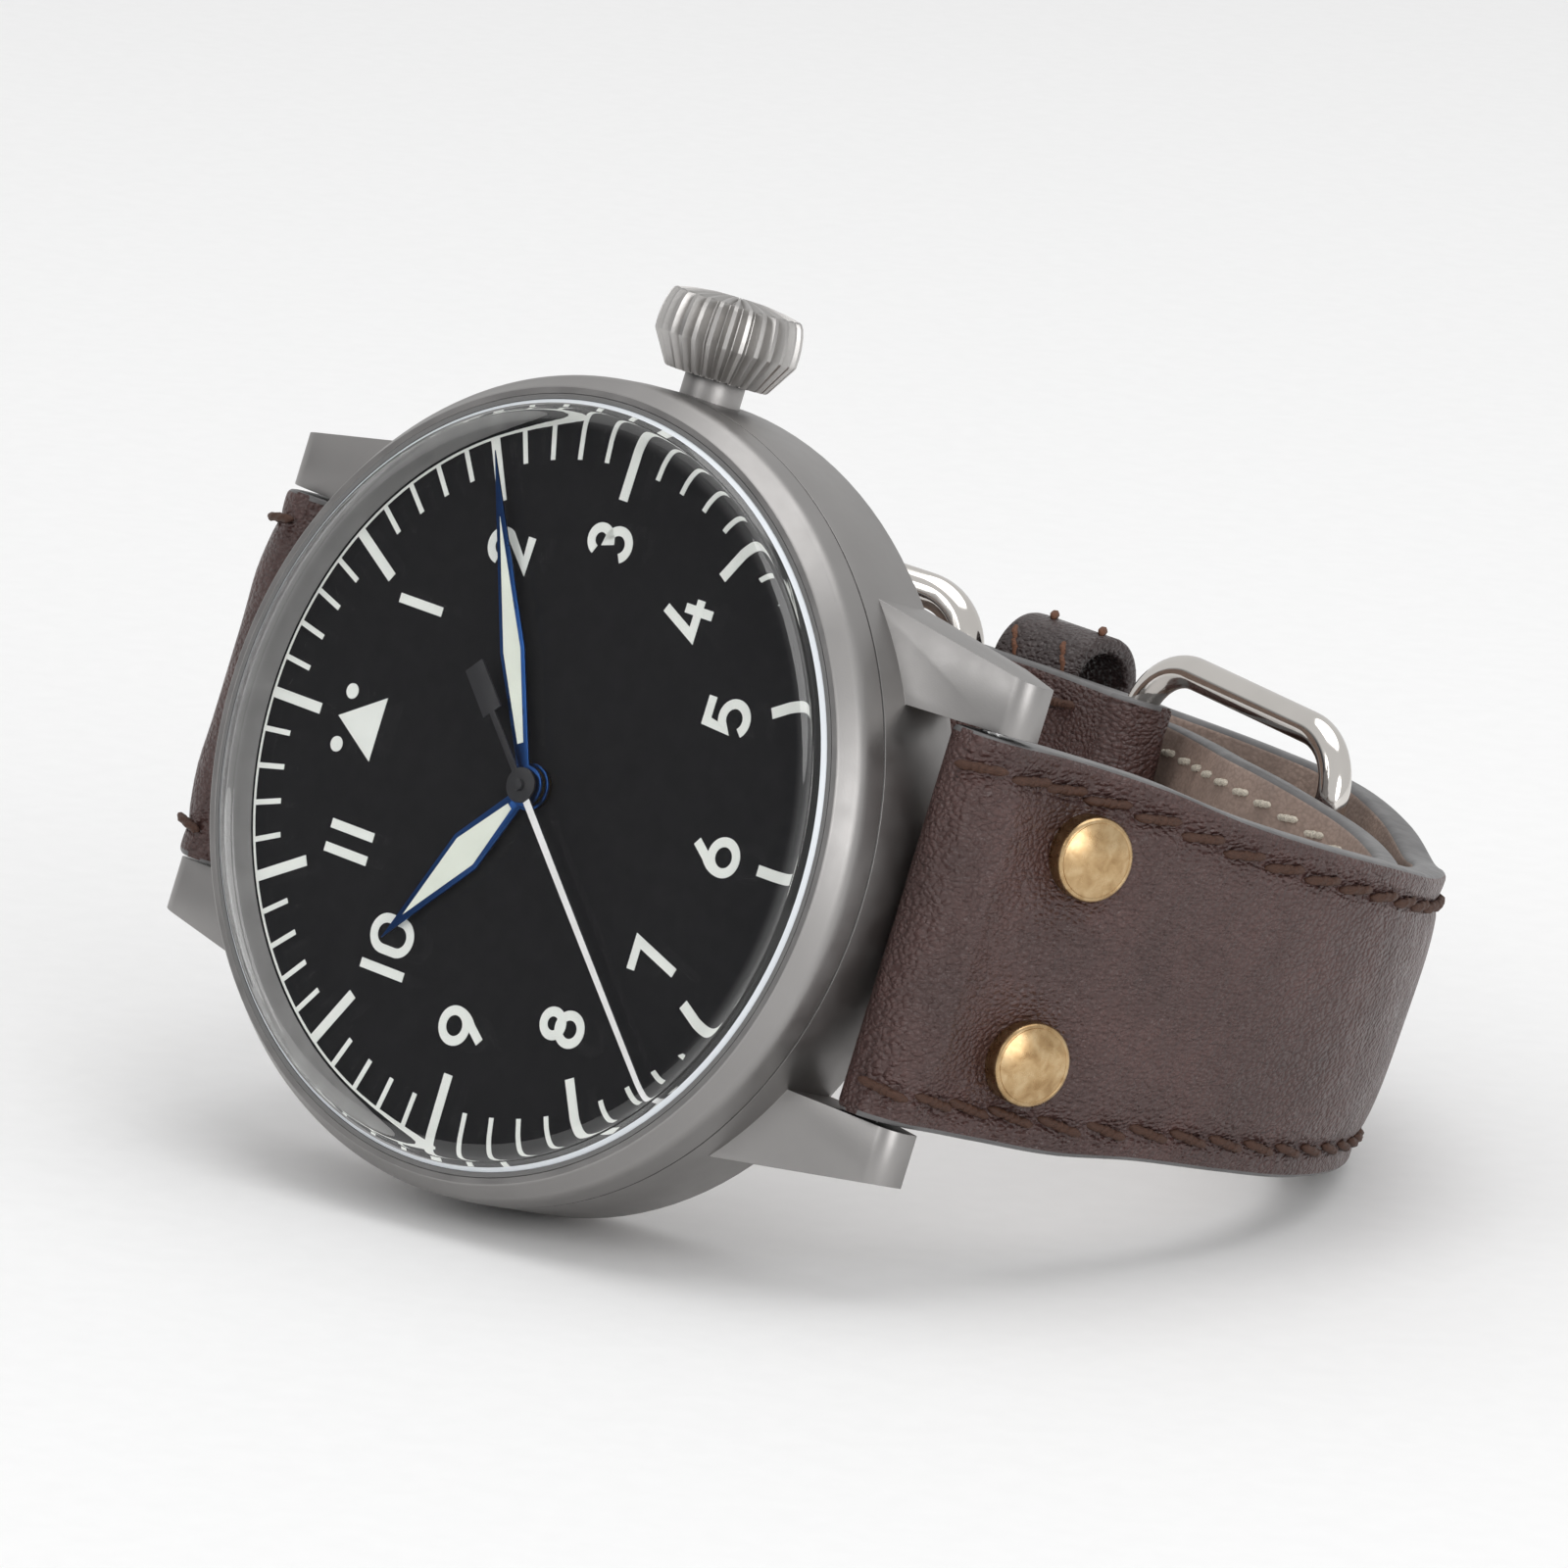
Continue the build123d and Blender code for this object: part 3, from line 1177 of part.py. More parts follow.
# Buckle-side strap: loops round the upper spring bar and round the slider ring.
ring_level = (six_way * math.cos(math.radians(ring_tilt))
              + dial_out * math.sin(math.radians(ring_tilt)))
ring_side = (ring_level * math.cos(math.radians(ring_roll))
             - crown_way * math.sin(math.radians(ring_roll)))
ring_plane = Plane(origin=at(ring_across, ring_rise, -ring_depth), x_dir=ring_side,
                   z_dir=ring_level.cross(crown_way))
fold_plane = Plane(origin=ring_plane.origin - ring_side * (ring_half_width - ring_wire / 2),
                   x_dir=ring_side, z_dir=ring_plane.y_dir)
with BuildPart() as strap_buckle_side:
    for plane, thickness, width in strap_sections(buckle_side_stations):
        with BuildSketch(plane):
            Rectangle(thickness, width)
    loft()
    with BuildSketch(Plane(origin=at(bulge_across, 0, bulge_depth), x_dir=six_way, z_dir=crown_way)):
        Circle(bulge_radius)
    extrude(amount=buckle_side_stations[0][3], both=True)
    with BuildSketch(bar_plane):
        with Locations((-bar_across, 0)):
            Circle(loop_hole_radius)
    extrude(amount=buckle_side_stations[0][3], both=True, mode=Mode.SUBTRACT)
    with BuildSketch(dial_plane):
        Circle(case_radius + strap_clearance)
    extrude(amount=relief_depth, mode=Mode.SUBTRACT)
    with BuildSketch(fold_plane):
        Circle(fold_radius)
    extrude(amount=fold_half_width, both=True)
    with BuildSketch(fold_plane):
        Circle(fold_hole_radius)
    extrude(amount=fold_half_width, both=True, mode=Mode.SUBTRACT)
    with BuildSketch(rivet_plane_12):
        with Locations((-rivet_spacing / 2, 0), (rivet_spacing / 2, 0)):
            Circle(rivet_hole_radius)
    extrude(amount=-2 * rivet_grip, mode=Mode.SUBTRACT)
    with BuildSketch(strap_plane):
        with Locations(bar_place):
            Circle(tab_radius)
    extrude(amount=tab_half_width, both=True)
    with BuildSketch(strap_plane):
        with Locations(bar_place):
            Circle(tab_hole_radius)
    extrude(amount=tab_half_width, both=True, mode=Mode.SUBTRACT)
    with BuildSketch(strap_plane):
        with Locations(bar_place):
            Circle(tab_radius + gasket_gap)
    extrude(amount=pin_slot_half_width, both=True, mode=Mode.SUBTRACT)
strap_buckle_side.part.label = "strap_buckle_side"
export_step(strap_buckle_side.part, "parts/strap_buckle_side.step")

# Slider ring: a round-cornered frame with softened edges.
with BuildPart() as slider_ring:
    with BuildSketch(ring_plane):
        RectangleRounded(2 * ring_half_width, 2 * ring_half_length, ring_corner)
        RectangleRounded(2 * (ring_half_width - ring_wire), 2 * (ring_half_length - ring_wire),
                         ring_corner - ring_wire, mode=Mode.SUBTRACT)
    extrude(amount=ring_thickness / 2, both=True)
    chamfer(slider_ring.faces().sort_by(Axis((0, 0, 0), ring_plane.z_dir))[0].edges()
            + slider_ring.faces().sort_by(Axis((0, 0, 0), ring_plane.z_dir))[-1].edges(), ring_edge)
slider_ring.part.label = "slider_ring"
export_step(slider_ring.part, "parts/slider_ring.step")

# Keeper: a leather loop round both layers of the strap.
with BuildPart() as keeper:
    keeper_plane = Plane(origin=at(keeper_start, 0, 0), x_dir=-dial_out, z_dir=six_way)
    with BuildSketch(keeper_plane):
        with Locations(((keeper_front + keeper_rear) / 2, (keeper_low + keeper_high) / 2)):
            RectangleRounded(keeper_rear - keeper_front, keeper_high - keeper_low, keeper_corner)
            RectangleRounded(keeper_rear - keeper_front - 2 * keeper_wall,
                             keeper_high - keeper_low - 2 * keeper_wall,
                             keeper_corner - keeper_wall, mode=Mode.SUBTRACT)
    extrude(amount=keeper_end - keeper_start)
keeper.part.label = "keeper"
export_step(keeper.part, "parts/keeper.step")

# Buckle frame: its lower end stands on the table.
with BuildPart() as buckle_frame:
    with BuildSketch(buckle_plane):
        RectangleRounded(2 * buckle_half_width, 2 * buckle_half_length, buckle_corner)
        RectangleRounded(2 * (buckle_half_width - buckle_wire), 2 * (buckle_half_length - buckle_wire),
                         buckle_corner - buckle_wire, mode=Mode.SUBTRACT)
    extrude(amount=buckle_thickness / 2, both=True)
    chamfer(buckle_frame.faces().sort_by(Axis((0, 0, 0), buckle_plane.z_dir))[0].edges()
            + buckle_frame.faces().sort_by(Axis((0, 0, 0), buckle_plane.z_dir))[-1].edges(), buckle_edge)
buckle_frame.part.label = "buckle_frame"
export_step(buckle_frame.part, "parts/buckle_frame.step")

# Buckle pin: an eye round the frame's bar and a tongue over its far side.
with BuildPart() as buckle_pin:
    pin_start = at(bar_place[0], buckle_rise, -bar_place[1])
    pin_way = at(pin_tip_across, buckle_rise, -pin_tip_depth) - pin_start
    with BuildSketch(Plane(origin=pin_start, x_dir=crown_way, z_dir=pin_way)):
        Circle(pin_radius)
    extrude(amount=pin_way.length)
    with BuildSketch(strap_plane):
        with Locations(bar_place):
            Circle(pin_eye_radius)
    extrude(amount=pin_eye_half_width, both=True)
    with BuildSketch(strap_plane):
        with Locations(bar_place):
            Circle(tab_hole_radius)
    extrude(amount=pin_eye_half_width, both=True, mode=Mode.SUBTRACT)
buckle_pin.part.label = "buckle_pin"
export_step(buckle_pin.part, "parts/buckle_pin.step")

# Rivets: low domed heads outside, shanks through the leather, flat backs.
with BuildPart() as rivets_6:
    with BuildSketch(rivet_plane_6):
        with Locations((-rivet_spacing / 2, 0), (rivet_spacing / 2, 0)):
            Circle(rivet_head_radius)
    extrude(amount=rivet_rim)
    with BuildSketch(rivet_plane_6.offset(rivet_rim)):
        with Locations((-rivet_spacing / 2, 0), (rivet_spacing / 2, 0)):
            Circle(rivet_head_radius)
    extrude(amount=rivet_head_rise, taper=rivet_head_taper)
    with BuildSketch(rivet_plane_6):
        with Locations((-rivet_spacing / 2, 0), (rivet_spacing / 2, 0)):
            Circle(rivet_shank_radius)
    extrude(amount=-rivet_grip)
    with BuildSketch(rivet_plane_6.offset(-rivet_grip)):
        with Locations((-rivet_spacing / 2, 0), (rivet_spacing / 2, 0)):
            Circle(rivet_back_radius)
    extrude(amount=-rivet_back_thickness)
rivets_6.part.label = "rivets_6"
export_step(rivets_6.part, "parts/rivets_6.step")

with BuildPart() as rivets_12:
    with BuildSketch(rivet_plane_12):
        with Locations((-rivet_spacing / 2, 0), (rivet_spacing / 2, 0)):
            Circle(rivet_head_radius)
    extrude(amount=rivet_rim)
    with BuildSketch(rivet_plane_12.offset(rivet_rim)):
        with Locations((-rivet_spacing / 2, 0), (rivet_spacing / 2, 0)):
            Circle(rivet_head_radius)
    extrude(amount=rivet_head_rise, taper=rivet_head_taper)
    with BuildSketch(rivet_plane_12):
        with Locations((-rivet_spacing / 2, 0), (rivet_spacing / 2, 0)):
            Circle(rivet_shank_radius)
    extrude(amount=-rivet_grip)
    with BuildSketch(rivet_plane_12.offset(-rivet_grip)):
        with Locations((-rivet_spacing / 2, 0), (rivet_spacing / 2, 0)):
            Circle(rivet_back_radius)
    extrude(amount=-rivet_back_thickness)
rivets_12.part.label = "rivets_12"
export_step(rivets_12.part, "parts/rivets_12.step")
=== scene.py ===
import json
from math import copysign, cos, exp, hypot, pi, radians, sin, sqrt

import bpy
from mathutils import Matrix, Vector

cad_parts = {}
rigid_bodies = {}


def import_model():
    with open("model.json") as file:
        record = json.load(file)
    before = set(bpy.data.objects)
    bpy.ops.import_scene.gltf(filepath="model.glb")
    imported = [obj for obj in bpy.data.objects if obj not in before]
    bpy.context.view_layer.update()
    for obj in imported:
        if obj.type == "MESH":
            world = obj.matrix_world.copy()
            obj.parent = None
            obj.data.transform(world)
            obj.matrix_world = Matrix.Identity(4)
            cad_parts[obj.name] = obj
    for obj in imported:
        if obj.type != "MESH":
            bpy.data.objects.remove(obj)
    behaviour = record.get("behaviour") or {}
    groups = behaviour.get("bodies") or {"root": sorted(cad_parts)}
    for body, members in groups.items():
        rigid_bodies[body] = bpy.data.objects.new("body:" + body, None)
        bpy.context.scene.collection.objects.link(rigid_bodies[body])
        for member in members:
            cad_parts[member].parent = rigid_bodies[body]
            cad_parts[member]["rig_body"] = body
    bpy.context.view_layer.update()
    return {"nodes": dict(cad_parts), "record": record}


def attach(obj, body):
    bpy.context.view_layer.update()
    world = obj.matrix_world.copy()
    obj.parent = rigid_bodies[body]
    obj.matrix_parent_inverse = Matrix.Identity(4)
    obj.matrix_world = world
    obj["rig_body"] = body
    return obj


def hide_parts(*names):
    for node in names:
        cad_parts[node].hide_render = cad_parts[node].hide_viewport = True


bl_info = {
    "name": "Pilot Watch on a Closed Strap",
    "version": (1, 0, 0),
    "blender": (4, 5, 0),
    "location": "3D View > Sidebar > Watch",
    "description": "Dresses a packed pilot watch: steel case, printed dial, blued hands and riveted strap",
    "category": "Add Mesh",
}

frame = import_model()

MM = 0.001
BODY = "case_and_strap"

# The dial's frame, as in the part's source: x to six o'clock, y to the crown, z out of the dial.
LEAN = radians(14.5)
TURN = radians(5.3)
DIAL_PLACE = Vector((2.5137, -27.4175, 21.7583))
DIAL_OUT = Vector((0, -cos(LEAN), sin(LEAN)))
CROWN_WAY = Vector((sin(TURN), cos(TURN) * sin(LEAN), cos(TURN) * cos(LEAN)))
SIX_WAY = CROWN_WAY.cross(DIAL_OUT)

# Places and clearances in that frame, in millimetres.
CASE_CLEARANCE = 21.3
RELIEF_DEPTH = 8.2
BEZEL_JOINT = -0.47
CROWN_AXIS_DEPTH = 3.5
CROWN_FLUTES = 28
FLUTE_DEPTH = 0.125
TOP_FLUTE_DROP = 0.16
RIVET_ACROSS = 26.65
RIVET_RISE = 5.3
RIVET_DEPTH = 9.82
RIVET_TILT = radians(21.0)
TURNED_STEPS = 192

# The stage: the camera's place and axes, and the way in which the dial mirrors it.
CAMERA_PLACE = (0.352208, -0.43283, 0.13439)
CAMERA_RIGHT = Vector((0.7616, 0.6449, 0.0629)).normalized()
CAMERA_BACK = Vector((0.6227, -0.7554, 0.2040)).normalized()
CAMERA_LENS = 250.5
DARK_CARD_WAY = (-0.62, -0.76, 0.12)

# Strap stations: x, depth behind the dial, rise of the middle line, half width, thickness, slant.
LONG_STATIONS = [
    (23.2, 4.45, 0.0, 9.85, 4.9, 0.0), (23.5, 6.6, 0.0, 9.85, 4.3, 0.0), (24.3, 9.4, 0.0, 9.8, 3.9, 0.0),
    (26.1, 13.8, 0.0, 9.6, 3.2, 1.5), (27.6, 19.0, 0.0, 9.0, 2.6, 3.0), (28.4, 25.0, 0.0, 8.7, 2.4, 4.0),
    (28.0, 31.2, 0.0, 8.5, 2.3, 4.0), (25.9, 37.6, 0.0, 8.2, 2.3, 3.0), (22.5, 43.6, 0.1, 8.1, 2.3, 2.0),
    (18.2, 48.9, 0.12, 8.0, 2.3, 1.0), (13.0, 53.4, 1.3, 8.0, 2.3, 0.0), (7.0, 56.7, 2.2, 8.0, 2.2, 0.0),
    (0.0, 58.4, 2.5, 8.0, 2.1, 0.0), (-8.0, 58.8, 2.6, 8.0, 2.0, 0.0), (-16.0, 58.6, 2.6, 8.0, 2.0, 0.0),
    (-23.2, 57.4, 2.6, 8.0, 2.0, 0.0), (-29.6, 53.8, 2.4, 7.9, 2.0, 0.0), (-33.6, 48.2, 2.2, 7.2, 2.0, 0.0),
    (-35.0, 42.5, 2.0, 4.0, 1.8, 0.0)]
BUCKLE_SIDE_STATIONS = [
    (-23.2, 4.45, 0.0, 9.85, 4.9, 0.0), (-23.5, 6.6, 0.0, 9.85, 4.3, 0.0), (-24.3, 9.4, 0.0, 9.8, 3.9, 0.0),
    (-26.0, 13.8, 0.0, 9.6, 3.2, 0.0), (-27.4, 19.0, 0.0, 9.1, 2.6, 0.0), (-28.6, 25.0, 0.2, 8.6, 2.4, 0.0),
    (-29.5, 31.5, 0.5, 8.3, 2.3, 0.0), (-29.4, 38.0, 1.0, 8.1, 2.3, 0.0), (-27.7, 44.3, 1.8, 8.0, 2.3, 0.0),
    (-24.0, 49.6, 2.4, 8.0, 2.3, 0.0), (-18.6, 52.9, 2.8, 8.0, 2.4, 0.0), (-13.6, 53.4, 2.9, 8.0, 2.2, 0.0),
    (-10.4, 53.3, 2.9, 8.0, 2.4, 0.0), (-7.5, 53.05, 2.9, 8.0, 3.4, 0.0), (-6.0, 53.05, 2.9, 8.0, 4.6, 0.0)]
TONGUE_STATIONS = [
    (23.7, 14.5, 0.0, 8.6, 1.5, 1.5), (25.35, 19.4, 0.0, 8.3, 1.5, 3.0), (26.2, 25.0, 0.0, 8.0, 1.5, 4.0),
    (25.85, 30.8, 0.0, 7.8, 1.5, 4.0), (23.85, 36.9, 0.1, 7.7, 1.5, 3.0), (20.2, 42.5, 0.4, 7.6, 1.5, 2.0),
    (14.9, 46.7, 1.2, 7.5, 1.5, 1.0), (8.8, 48.5, 2.0, 7.5, 1.5, 0.0), (3.4, 50.9, 2.3, 7.5, 1.5, 0.0),
    (-1.5, 54.5, 2.4, 7.5, 1.4, 0.0), (-6.0, 56.65, 2.5, 7.5, 1.2, 0.0), (-9.6, 56.85, 2.6, 7.2, 1.1, 0.0)]

# Dips (and swells, below zero) of the leather round the rivets: aside, run, depth and width.
RIVET_DIMPLES = (
    (5.3, 5.4, 0.75, 2.4), (-5.3, 5.4, 0.75, 2.4), (0.0, 5.6, -0.45, 3.4), (5.3, 10.2, -0.3, 2.6),
    (-5.3, 10.4, -0.3, 2.6), (5.3, 0.6, -0.2, 1.8), (-5.3, 0.6, -0.2, 1.8))

# The keeper's stitched sides: start and end as depth and rise, outward way, and lift.
KEEPER_SIDES = [
    ((61.1, -5.0), (61.1, 10.4), (1.0, 0.0), 0.16), ((60.2, 12.4), (61.0, 10.6), (0.8, 0.6), 0.1),
    ((59.0, 13.3), (56.9, 13.3), (0.0, 1.0), 0.16), ((55.7, 12.4), (54.9, 10.6), (-0.8, 0.6), 0.1),
    ((54.8, 10.4), (54.8, -5.0), (-1.0, 0.0), 0.16)]


# The finishes by the names that the pieces ask for; each new shader adds its own.
MATERIALS = {}


def at(across, rise, out):
    """A place in the dial's frame, in millimetres, as a point of the scene in metres."""
    return (DIAL_PLACE + SIX_WAY * across + CROWN_WAY * rise + DIAL_OUT * out) * MM


def axes_matrix(place, *axes):
    """The matrix that carries a mesh drawn in millimetres on three axes to a place in the scene."""
    return Matrix.Translation(place) @ Matrix(axes).transposed().to_4x4() @ Matrix.Scale(MM, 4)


def dial_matrix(level=0.0):
    """The same for a mesh drawn on the dial's frame, at a level over the dial."""
    return axes_matrix(at(0, 0, level), SIX_WAY, CROWN_WAY, DIAL_OUT)


def deselect():
    """Leave object mode's selection empty."""
    if bpy.context.object and bpy.context.object.mode != "OBJECT":
        bpy.ops.object.mode_set(mode="OBJECT")
    bpy.ops.object.select_all(action="DESELECT")


def choose(piece):
    """Make one object the selected and active one."""
    deselect()
    piece.select_set(True)
    bpy.context.view_layer.objects.active = piece


def settle(piece, matrix):
    """Apply a place to a finished mesh, so that its object stays at the origin."""
    choose(piece)
    piece.matrix_world = matrix
    bpy.context.view_layer.update()
    bpy.ops.object.transform_apply(location=True, rotation=True, scale=True)
    return piece


def apply_modifiers(piece):
    """Apply all of a piece's modifiers in order."""
    choose(piece)
    for modifier in list(piece.modifiers):
        bpy.ops.object.modifier_apply(modifier=modifier.name)


def smooth(piece, degrees):
    """Smooth the shading up to an angle."""
    choose(piece)
    bpy.ops.object.shade_smooth_by_angle(angle=radians(degrees))


def face_outward(piece, merge=0.0):
    """Merge near corners when asked, and turn every face outward."""
    choose(piece)
    bpy.ops.object.mode_set(mode="EDIT")
    bpy.ops.mesh.select_all(action="SELECT")
    if merge:
        bpy.ops.mesh.remove_doubles(threshold=merge)
    bpy.ops.mesh.normals_make_consistent(inside=False)
    bpy.ops.object.mode_set(mode="OBJECT")


def paint(piece, *finishes):
    """Give a piece its finishes in slot order, keeping each face's slot number."""
    numbers = [polygon.material_index for polygon in piece.data.polygons]
    piece.data.materials.clear()
    for finish in finishes:
        piece.data.materials.append(MATERIALS[finish])
    last = len(finishes) - 1
    piece.data.polygons.foreach_set("material_index", [min(number, last) for number in numbers])


def place_piece(piece, body, slot_name, *nodes):
    """Ride a finished piece on its body and let it stand for the nodes it replaces."""
    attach(piece, body)
    if nodes:
        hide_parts(*nodes)


def slot_of_node(node):
    """The record's material slot of a node."""
    for row in frame["record"]["subparts"]:
        if row["node"] == node:
            return row["material_slot"]
    raise RuntimeError(f"no slot is recorded for {node}")


def stand_in(piece, node):
    """Let a finished piece take a node's place, on its body."""
    place_piece(piece, frame["nodes"][node]["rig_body"], slot_of_node(node), node)


def add_object(name, data):
    """A new object in the scene."""
    piece = bpy.data.objects.new(name, data)
    bpy.context.scene.collection.objects.link(piece)
    return piece


def mesh_piece(name, points, faces, edges=()):
    """A new object from corner points and faces, or from a line of edges."""
    mesh = bpy.data.meshes.new(name)
    mesh.from_pydata(points, edges, faces)
    mesh.validate()
    return add_object(name, mesh)


def fan(ring, tip):
    """Faces that close a ring of corner numbers to one corner."""
    return [(ring[spot], ring[(spot + 1) % len(ring)], tip) for spot in range(len(ring))]


def skin(rings):
    """Faces that join closed rings of corner numbers, each ring to the next."""
    faces = []
    for ring, following in zip(rings, rings[1:]):
        for spot in range(len(ring)):
            next_spot = (spot + 1) % len(ring)
            faces.append((ring[spot], ring[next_spot], following[next_spot], following[spot]))
    return faces


def lathe(name, profile, steps, matrix):
    """A turned piece: a profile of radius and height spun round its axis, in millimetres."""
    points = [(radius, 0.0, height) for radius, height in profile]
    edges = [(number, number + 1) for number in range(len(points) - 1)]
    piece = mesh_piece(name, points, [], edges)
    spun = piece.modifiers.new("spin", "SCREW")
    spun.angle = 2 * pi
    spun.steps = steps
    spun.render_steps = steps
    spun.use_merge_vertices = True
    spun.merge_threshold = 0.0001
    apply_modifiers(piece)
    face_outward(piece, 0.0001)
    return settle(piece, matrix)


def finished_copy(node, name, finish, bevel=0.0, segments=2, angle=30.0, smooth_angle=35.0):
    """Copy a node's mesh, merge its corners, soften its edges and let the copy replace it."""
    piece = add_object(name, frame["nodes"][node].data.copy())
    piece.data.name = name
    choose(piece)
    bpy.ops.mesh.customdata_custom_splitnormals_clear()
    bpy.ops.object.mode_set(mode="EDIT")
    bpy.ops.mesh.select_all(action="SELECT")
    bpy.ops.mesh.remove_doubles(threshold=0.002 * MM)
    if bevel:
        bpy.ops.mesh.dissolve_limited(angle_limit=radians(0.6))
    bpy.ops.object.mode_set(mode="OBJECT")
    if bevel:
        softened = piece.modifiers.new("soft_edges", "BEVEL")
        softened.width = bevel * MM
        softened.segments = segments
        softened.limit_method = "ANGLE"
        softened.angle_limit = radians(angle)
        softened.use_clamp_overlap = True
        apply_modifiers(piece)
    smooth(piece, smooth_angle)
    paint(piece, finish)
    stand_in(piece, node)


class Nodes:
    """A tree of shader nodes, made and linked by their outputs."""

    def __init__(self, tree):
        self.tree = tree

    def feed(self, node, inputs):
        """Set a node's inputs, by name or number, to constants or to other nodes' outputs."""
        for key, value in inputs.items():
            if isinstance(value, bpy.types.NodeSocket):
                self.tree.links.new(value, node.inputs[key])
            else:
                node.inputs[key].default_value = value
        return node

    def new(self, kind, inputs, operation=None):
        """A new node with its inputs fed."""
        node = self.tree.nodes.new("ShaderNode" + kind)
        if operation:
            node.operation = operation
        return self.feed(node, inputs)

    def ramp(self, value, stops):
        """Turn a value into a colour by stops of place and colour."""
        node = self.new("ValToRGB", {"Fac": value})
        elements = node.color_ramp.elements
        while len(elements) < len(stops):
            elements.new(0.5)
        for element, (place, colour) in zip(elements, stops):
            element.position = place
            element.color = (*colour, 1)
        return node.outputs["Color"]


class Shader(Nodes):
    """A material under construction, with its colour, roughness and reliefs."""

    def __init__(self, name, colour, metallic, roughness):
        material = bpy.data.materials.new(name)
        material.use_nodes = True
        material.diffuse_color = (*colour, 1)
        super().__init__(material.node_tree)
        MATERIALS[name] = material
        self.colour, self.roughness = colour, roughness
        self.body = self.tree.nodes["Principled BSDF"]
        self.set({"Base Color": (*colour, 1), "Metallic": metallic, "Roughness": roughness})
        self.coordinates = self.new("TexCoord", {}).outputs["Object"]
        self.last_bump = None

    def set(self, inputs):
        """Feed inputs of the surface itself."""
        self.feed(self.body, inputs)

    def shade(self, share):
        """The material's colour made darker or lighter by a share."""
        return tuple(min(1.0, share * value) for value in self.colour)

    def mapped(self, scale):
        """Coordinates stretched for a directed grain."""
        return self.new("Mapping", {"Scale": scale, "Vector": self.coordinates}).outputs["Vector"]

    def noise(self, size, detail=3.0, coordinates=None, distortion=0.0):
        """Noise whose features are about size millimetres wide."""
        return self.new("TexNoise", {
            "Scale": 1 / (size * MM), "Detail": detail, "Distortion": distortion,
            "Vector": coordinates or self.coordinates}).outputs["Fac"]

    def cells(self, size, coordinates):
        """Distance from the middles of cells about size millimetres wide."""
        return self.new("TexVoronoi", {"Scale": 1 / (size * MM), "Vector": coordinates}).outputs["Distance"]

    def wobbled(self, size, amount, source):
        """Coordinates pushed about by noise, amount in millimetres."""
        noise = self.new("TexNoise", {"Scale": 1 / (size * MM), "Detail": 2.0, "Vector": source})
        push = self.new("VectorMath", {0: noise.outputs["Color"], "Scale": amount * MM}, "SCALE")
        return self.new("VectorMath", {0: source, 1: push.outputs["Vector"]}, "ADD").outputs["Vector"]

    def clouds(self, value, dark, light, end=0.7):
        """Shades of the material's colour that follow a texture."""
        return self.ramp(value, [(0.3, self.shade(dark)), (end, self.shade(light))])

    def spread(self, value, low, high, start=0.3, end=0.7):
        """Map a texture's middle range to low and high."""
        ends = {"From Min": start, "From Max": end, "To Min": low, "To Max": high}
        return self.new("MapRange", {"Value": value, **ends}).outputs["Result"]

    def smears(self, value, less, more):
        """Roughness that follows a texture, from less to more than the material's own."""
        return self.spread(value, self.roughness - less, self.roughness + more)

    def mix(self, factor, first, second):
        """Mix a colour output with a plain colour by a factor."""
        node = self.tree.nodes.new("ShaderNodeMix")
        node.data_type = "RGBA"
        return self.feed(node, {"Factor": factor, "A": first, "B": (*second, 1)}).outputs["Result"]

    def level_line(self, level, half_width):
        """One near a height over the dial, in millimetres, and zero elsewhere."""
        height = self.new("VectorMath", {0: self.coordinates, 1: DIAL_OUT}, "DOT_PRODUCT")
        middle = (DIAL_PLACE.dot(DIAL_OUT) + level) * MM
        near = self.new("Math", {0: height.outputs["Value"], 1: middle, 2: half_width * MM}, "COMPARE")
        return near.outputs["Value"]

    def bump(self, height, depth, strength):
        """Add a relief depth millimetres deep on top of the ones before."""
        inputs = {"Strength": strength, "Distance": depth * MM, "Height": height}
        if self.last_bump:
            inputs["Normal"] = self.last_bump
        self.last_bump = self.new("Bump", inputs).outputs["Normal"]
        self.set({"Normal": self.last_bump})


def blasted_steel(name, colour, roughness, joint=None):
    """Bead-blasted steel: a fine even grain, faint cloudy variation and a shaded joint line."""
    shader = Shader(name, colour, 1.0, roughness)
    finish = shader.clouds(shader.noise(6.0, 2.0), 0.94, 1.04)
    if joint is not None:
        finish = shader.mix(shader.level_line(joint, 0.07), finish, shader.shade(0.2))
    shader.set({"Base Color": finish, "Roughness": shader.smears(shader.noise(1.5), 0.04, 0.04)})
    shader.bump(shader.noise(0.09, 2.0), 0.006, 0.6)


def polished(name, colour, roughness):
    """Polished metal with faint smears and hairlines."""
    shader = Shader(name, colour, 1.0, roughness)
    shader.set({"Base Color": shader.clouds(shader.noise(3.0, 2.0), 0.93, 1.0),
                "Roughness": shader.smears(shader.noise(2.0, 4.0), 0.015, 0.03)})
    shader.bump(shader.noise(1.2, 5.0), 0.004, 0.25)


def matte(name, colour, roughness, grain=0.15, depth=0.01, variation=0.08, shine=0.5):
    """A matte coat with a fine grain."""
    shader = Shader(name, colour, 0.0, roughness)
    shader.set({"Base Color": shader.clouds(shader.noise(1.8, 4.0), 1 - variation, 1 + variation),
                "Roughness": shader.smears(shader.noise(0.8, 2.0), 0.05, 0.05),
                "Specular IOR Level": shine})
    shader.bump(shader.noise(grain), depth, 0.5)


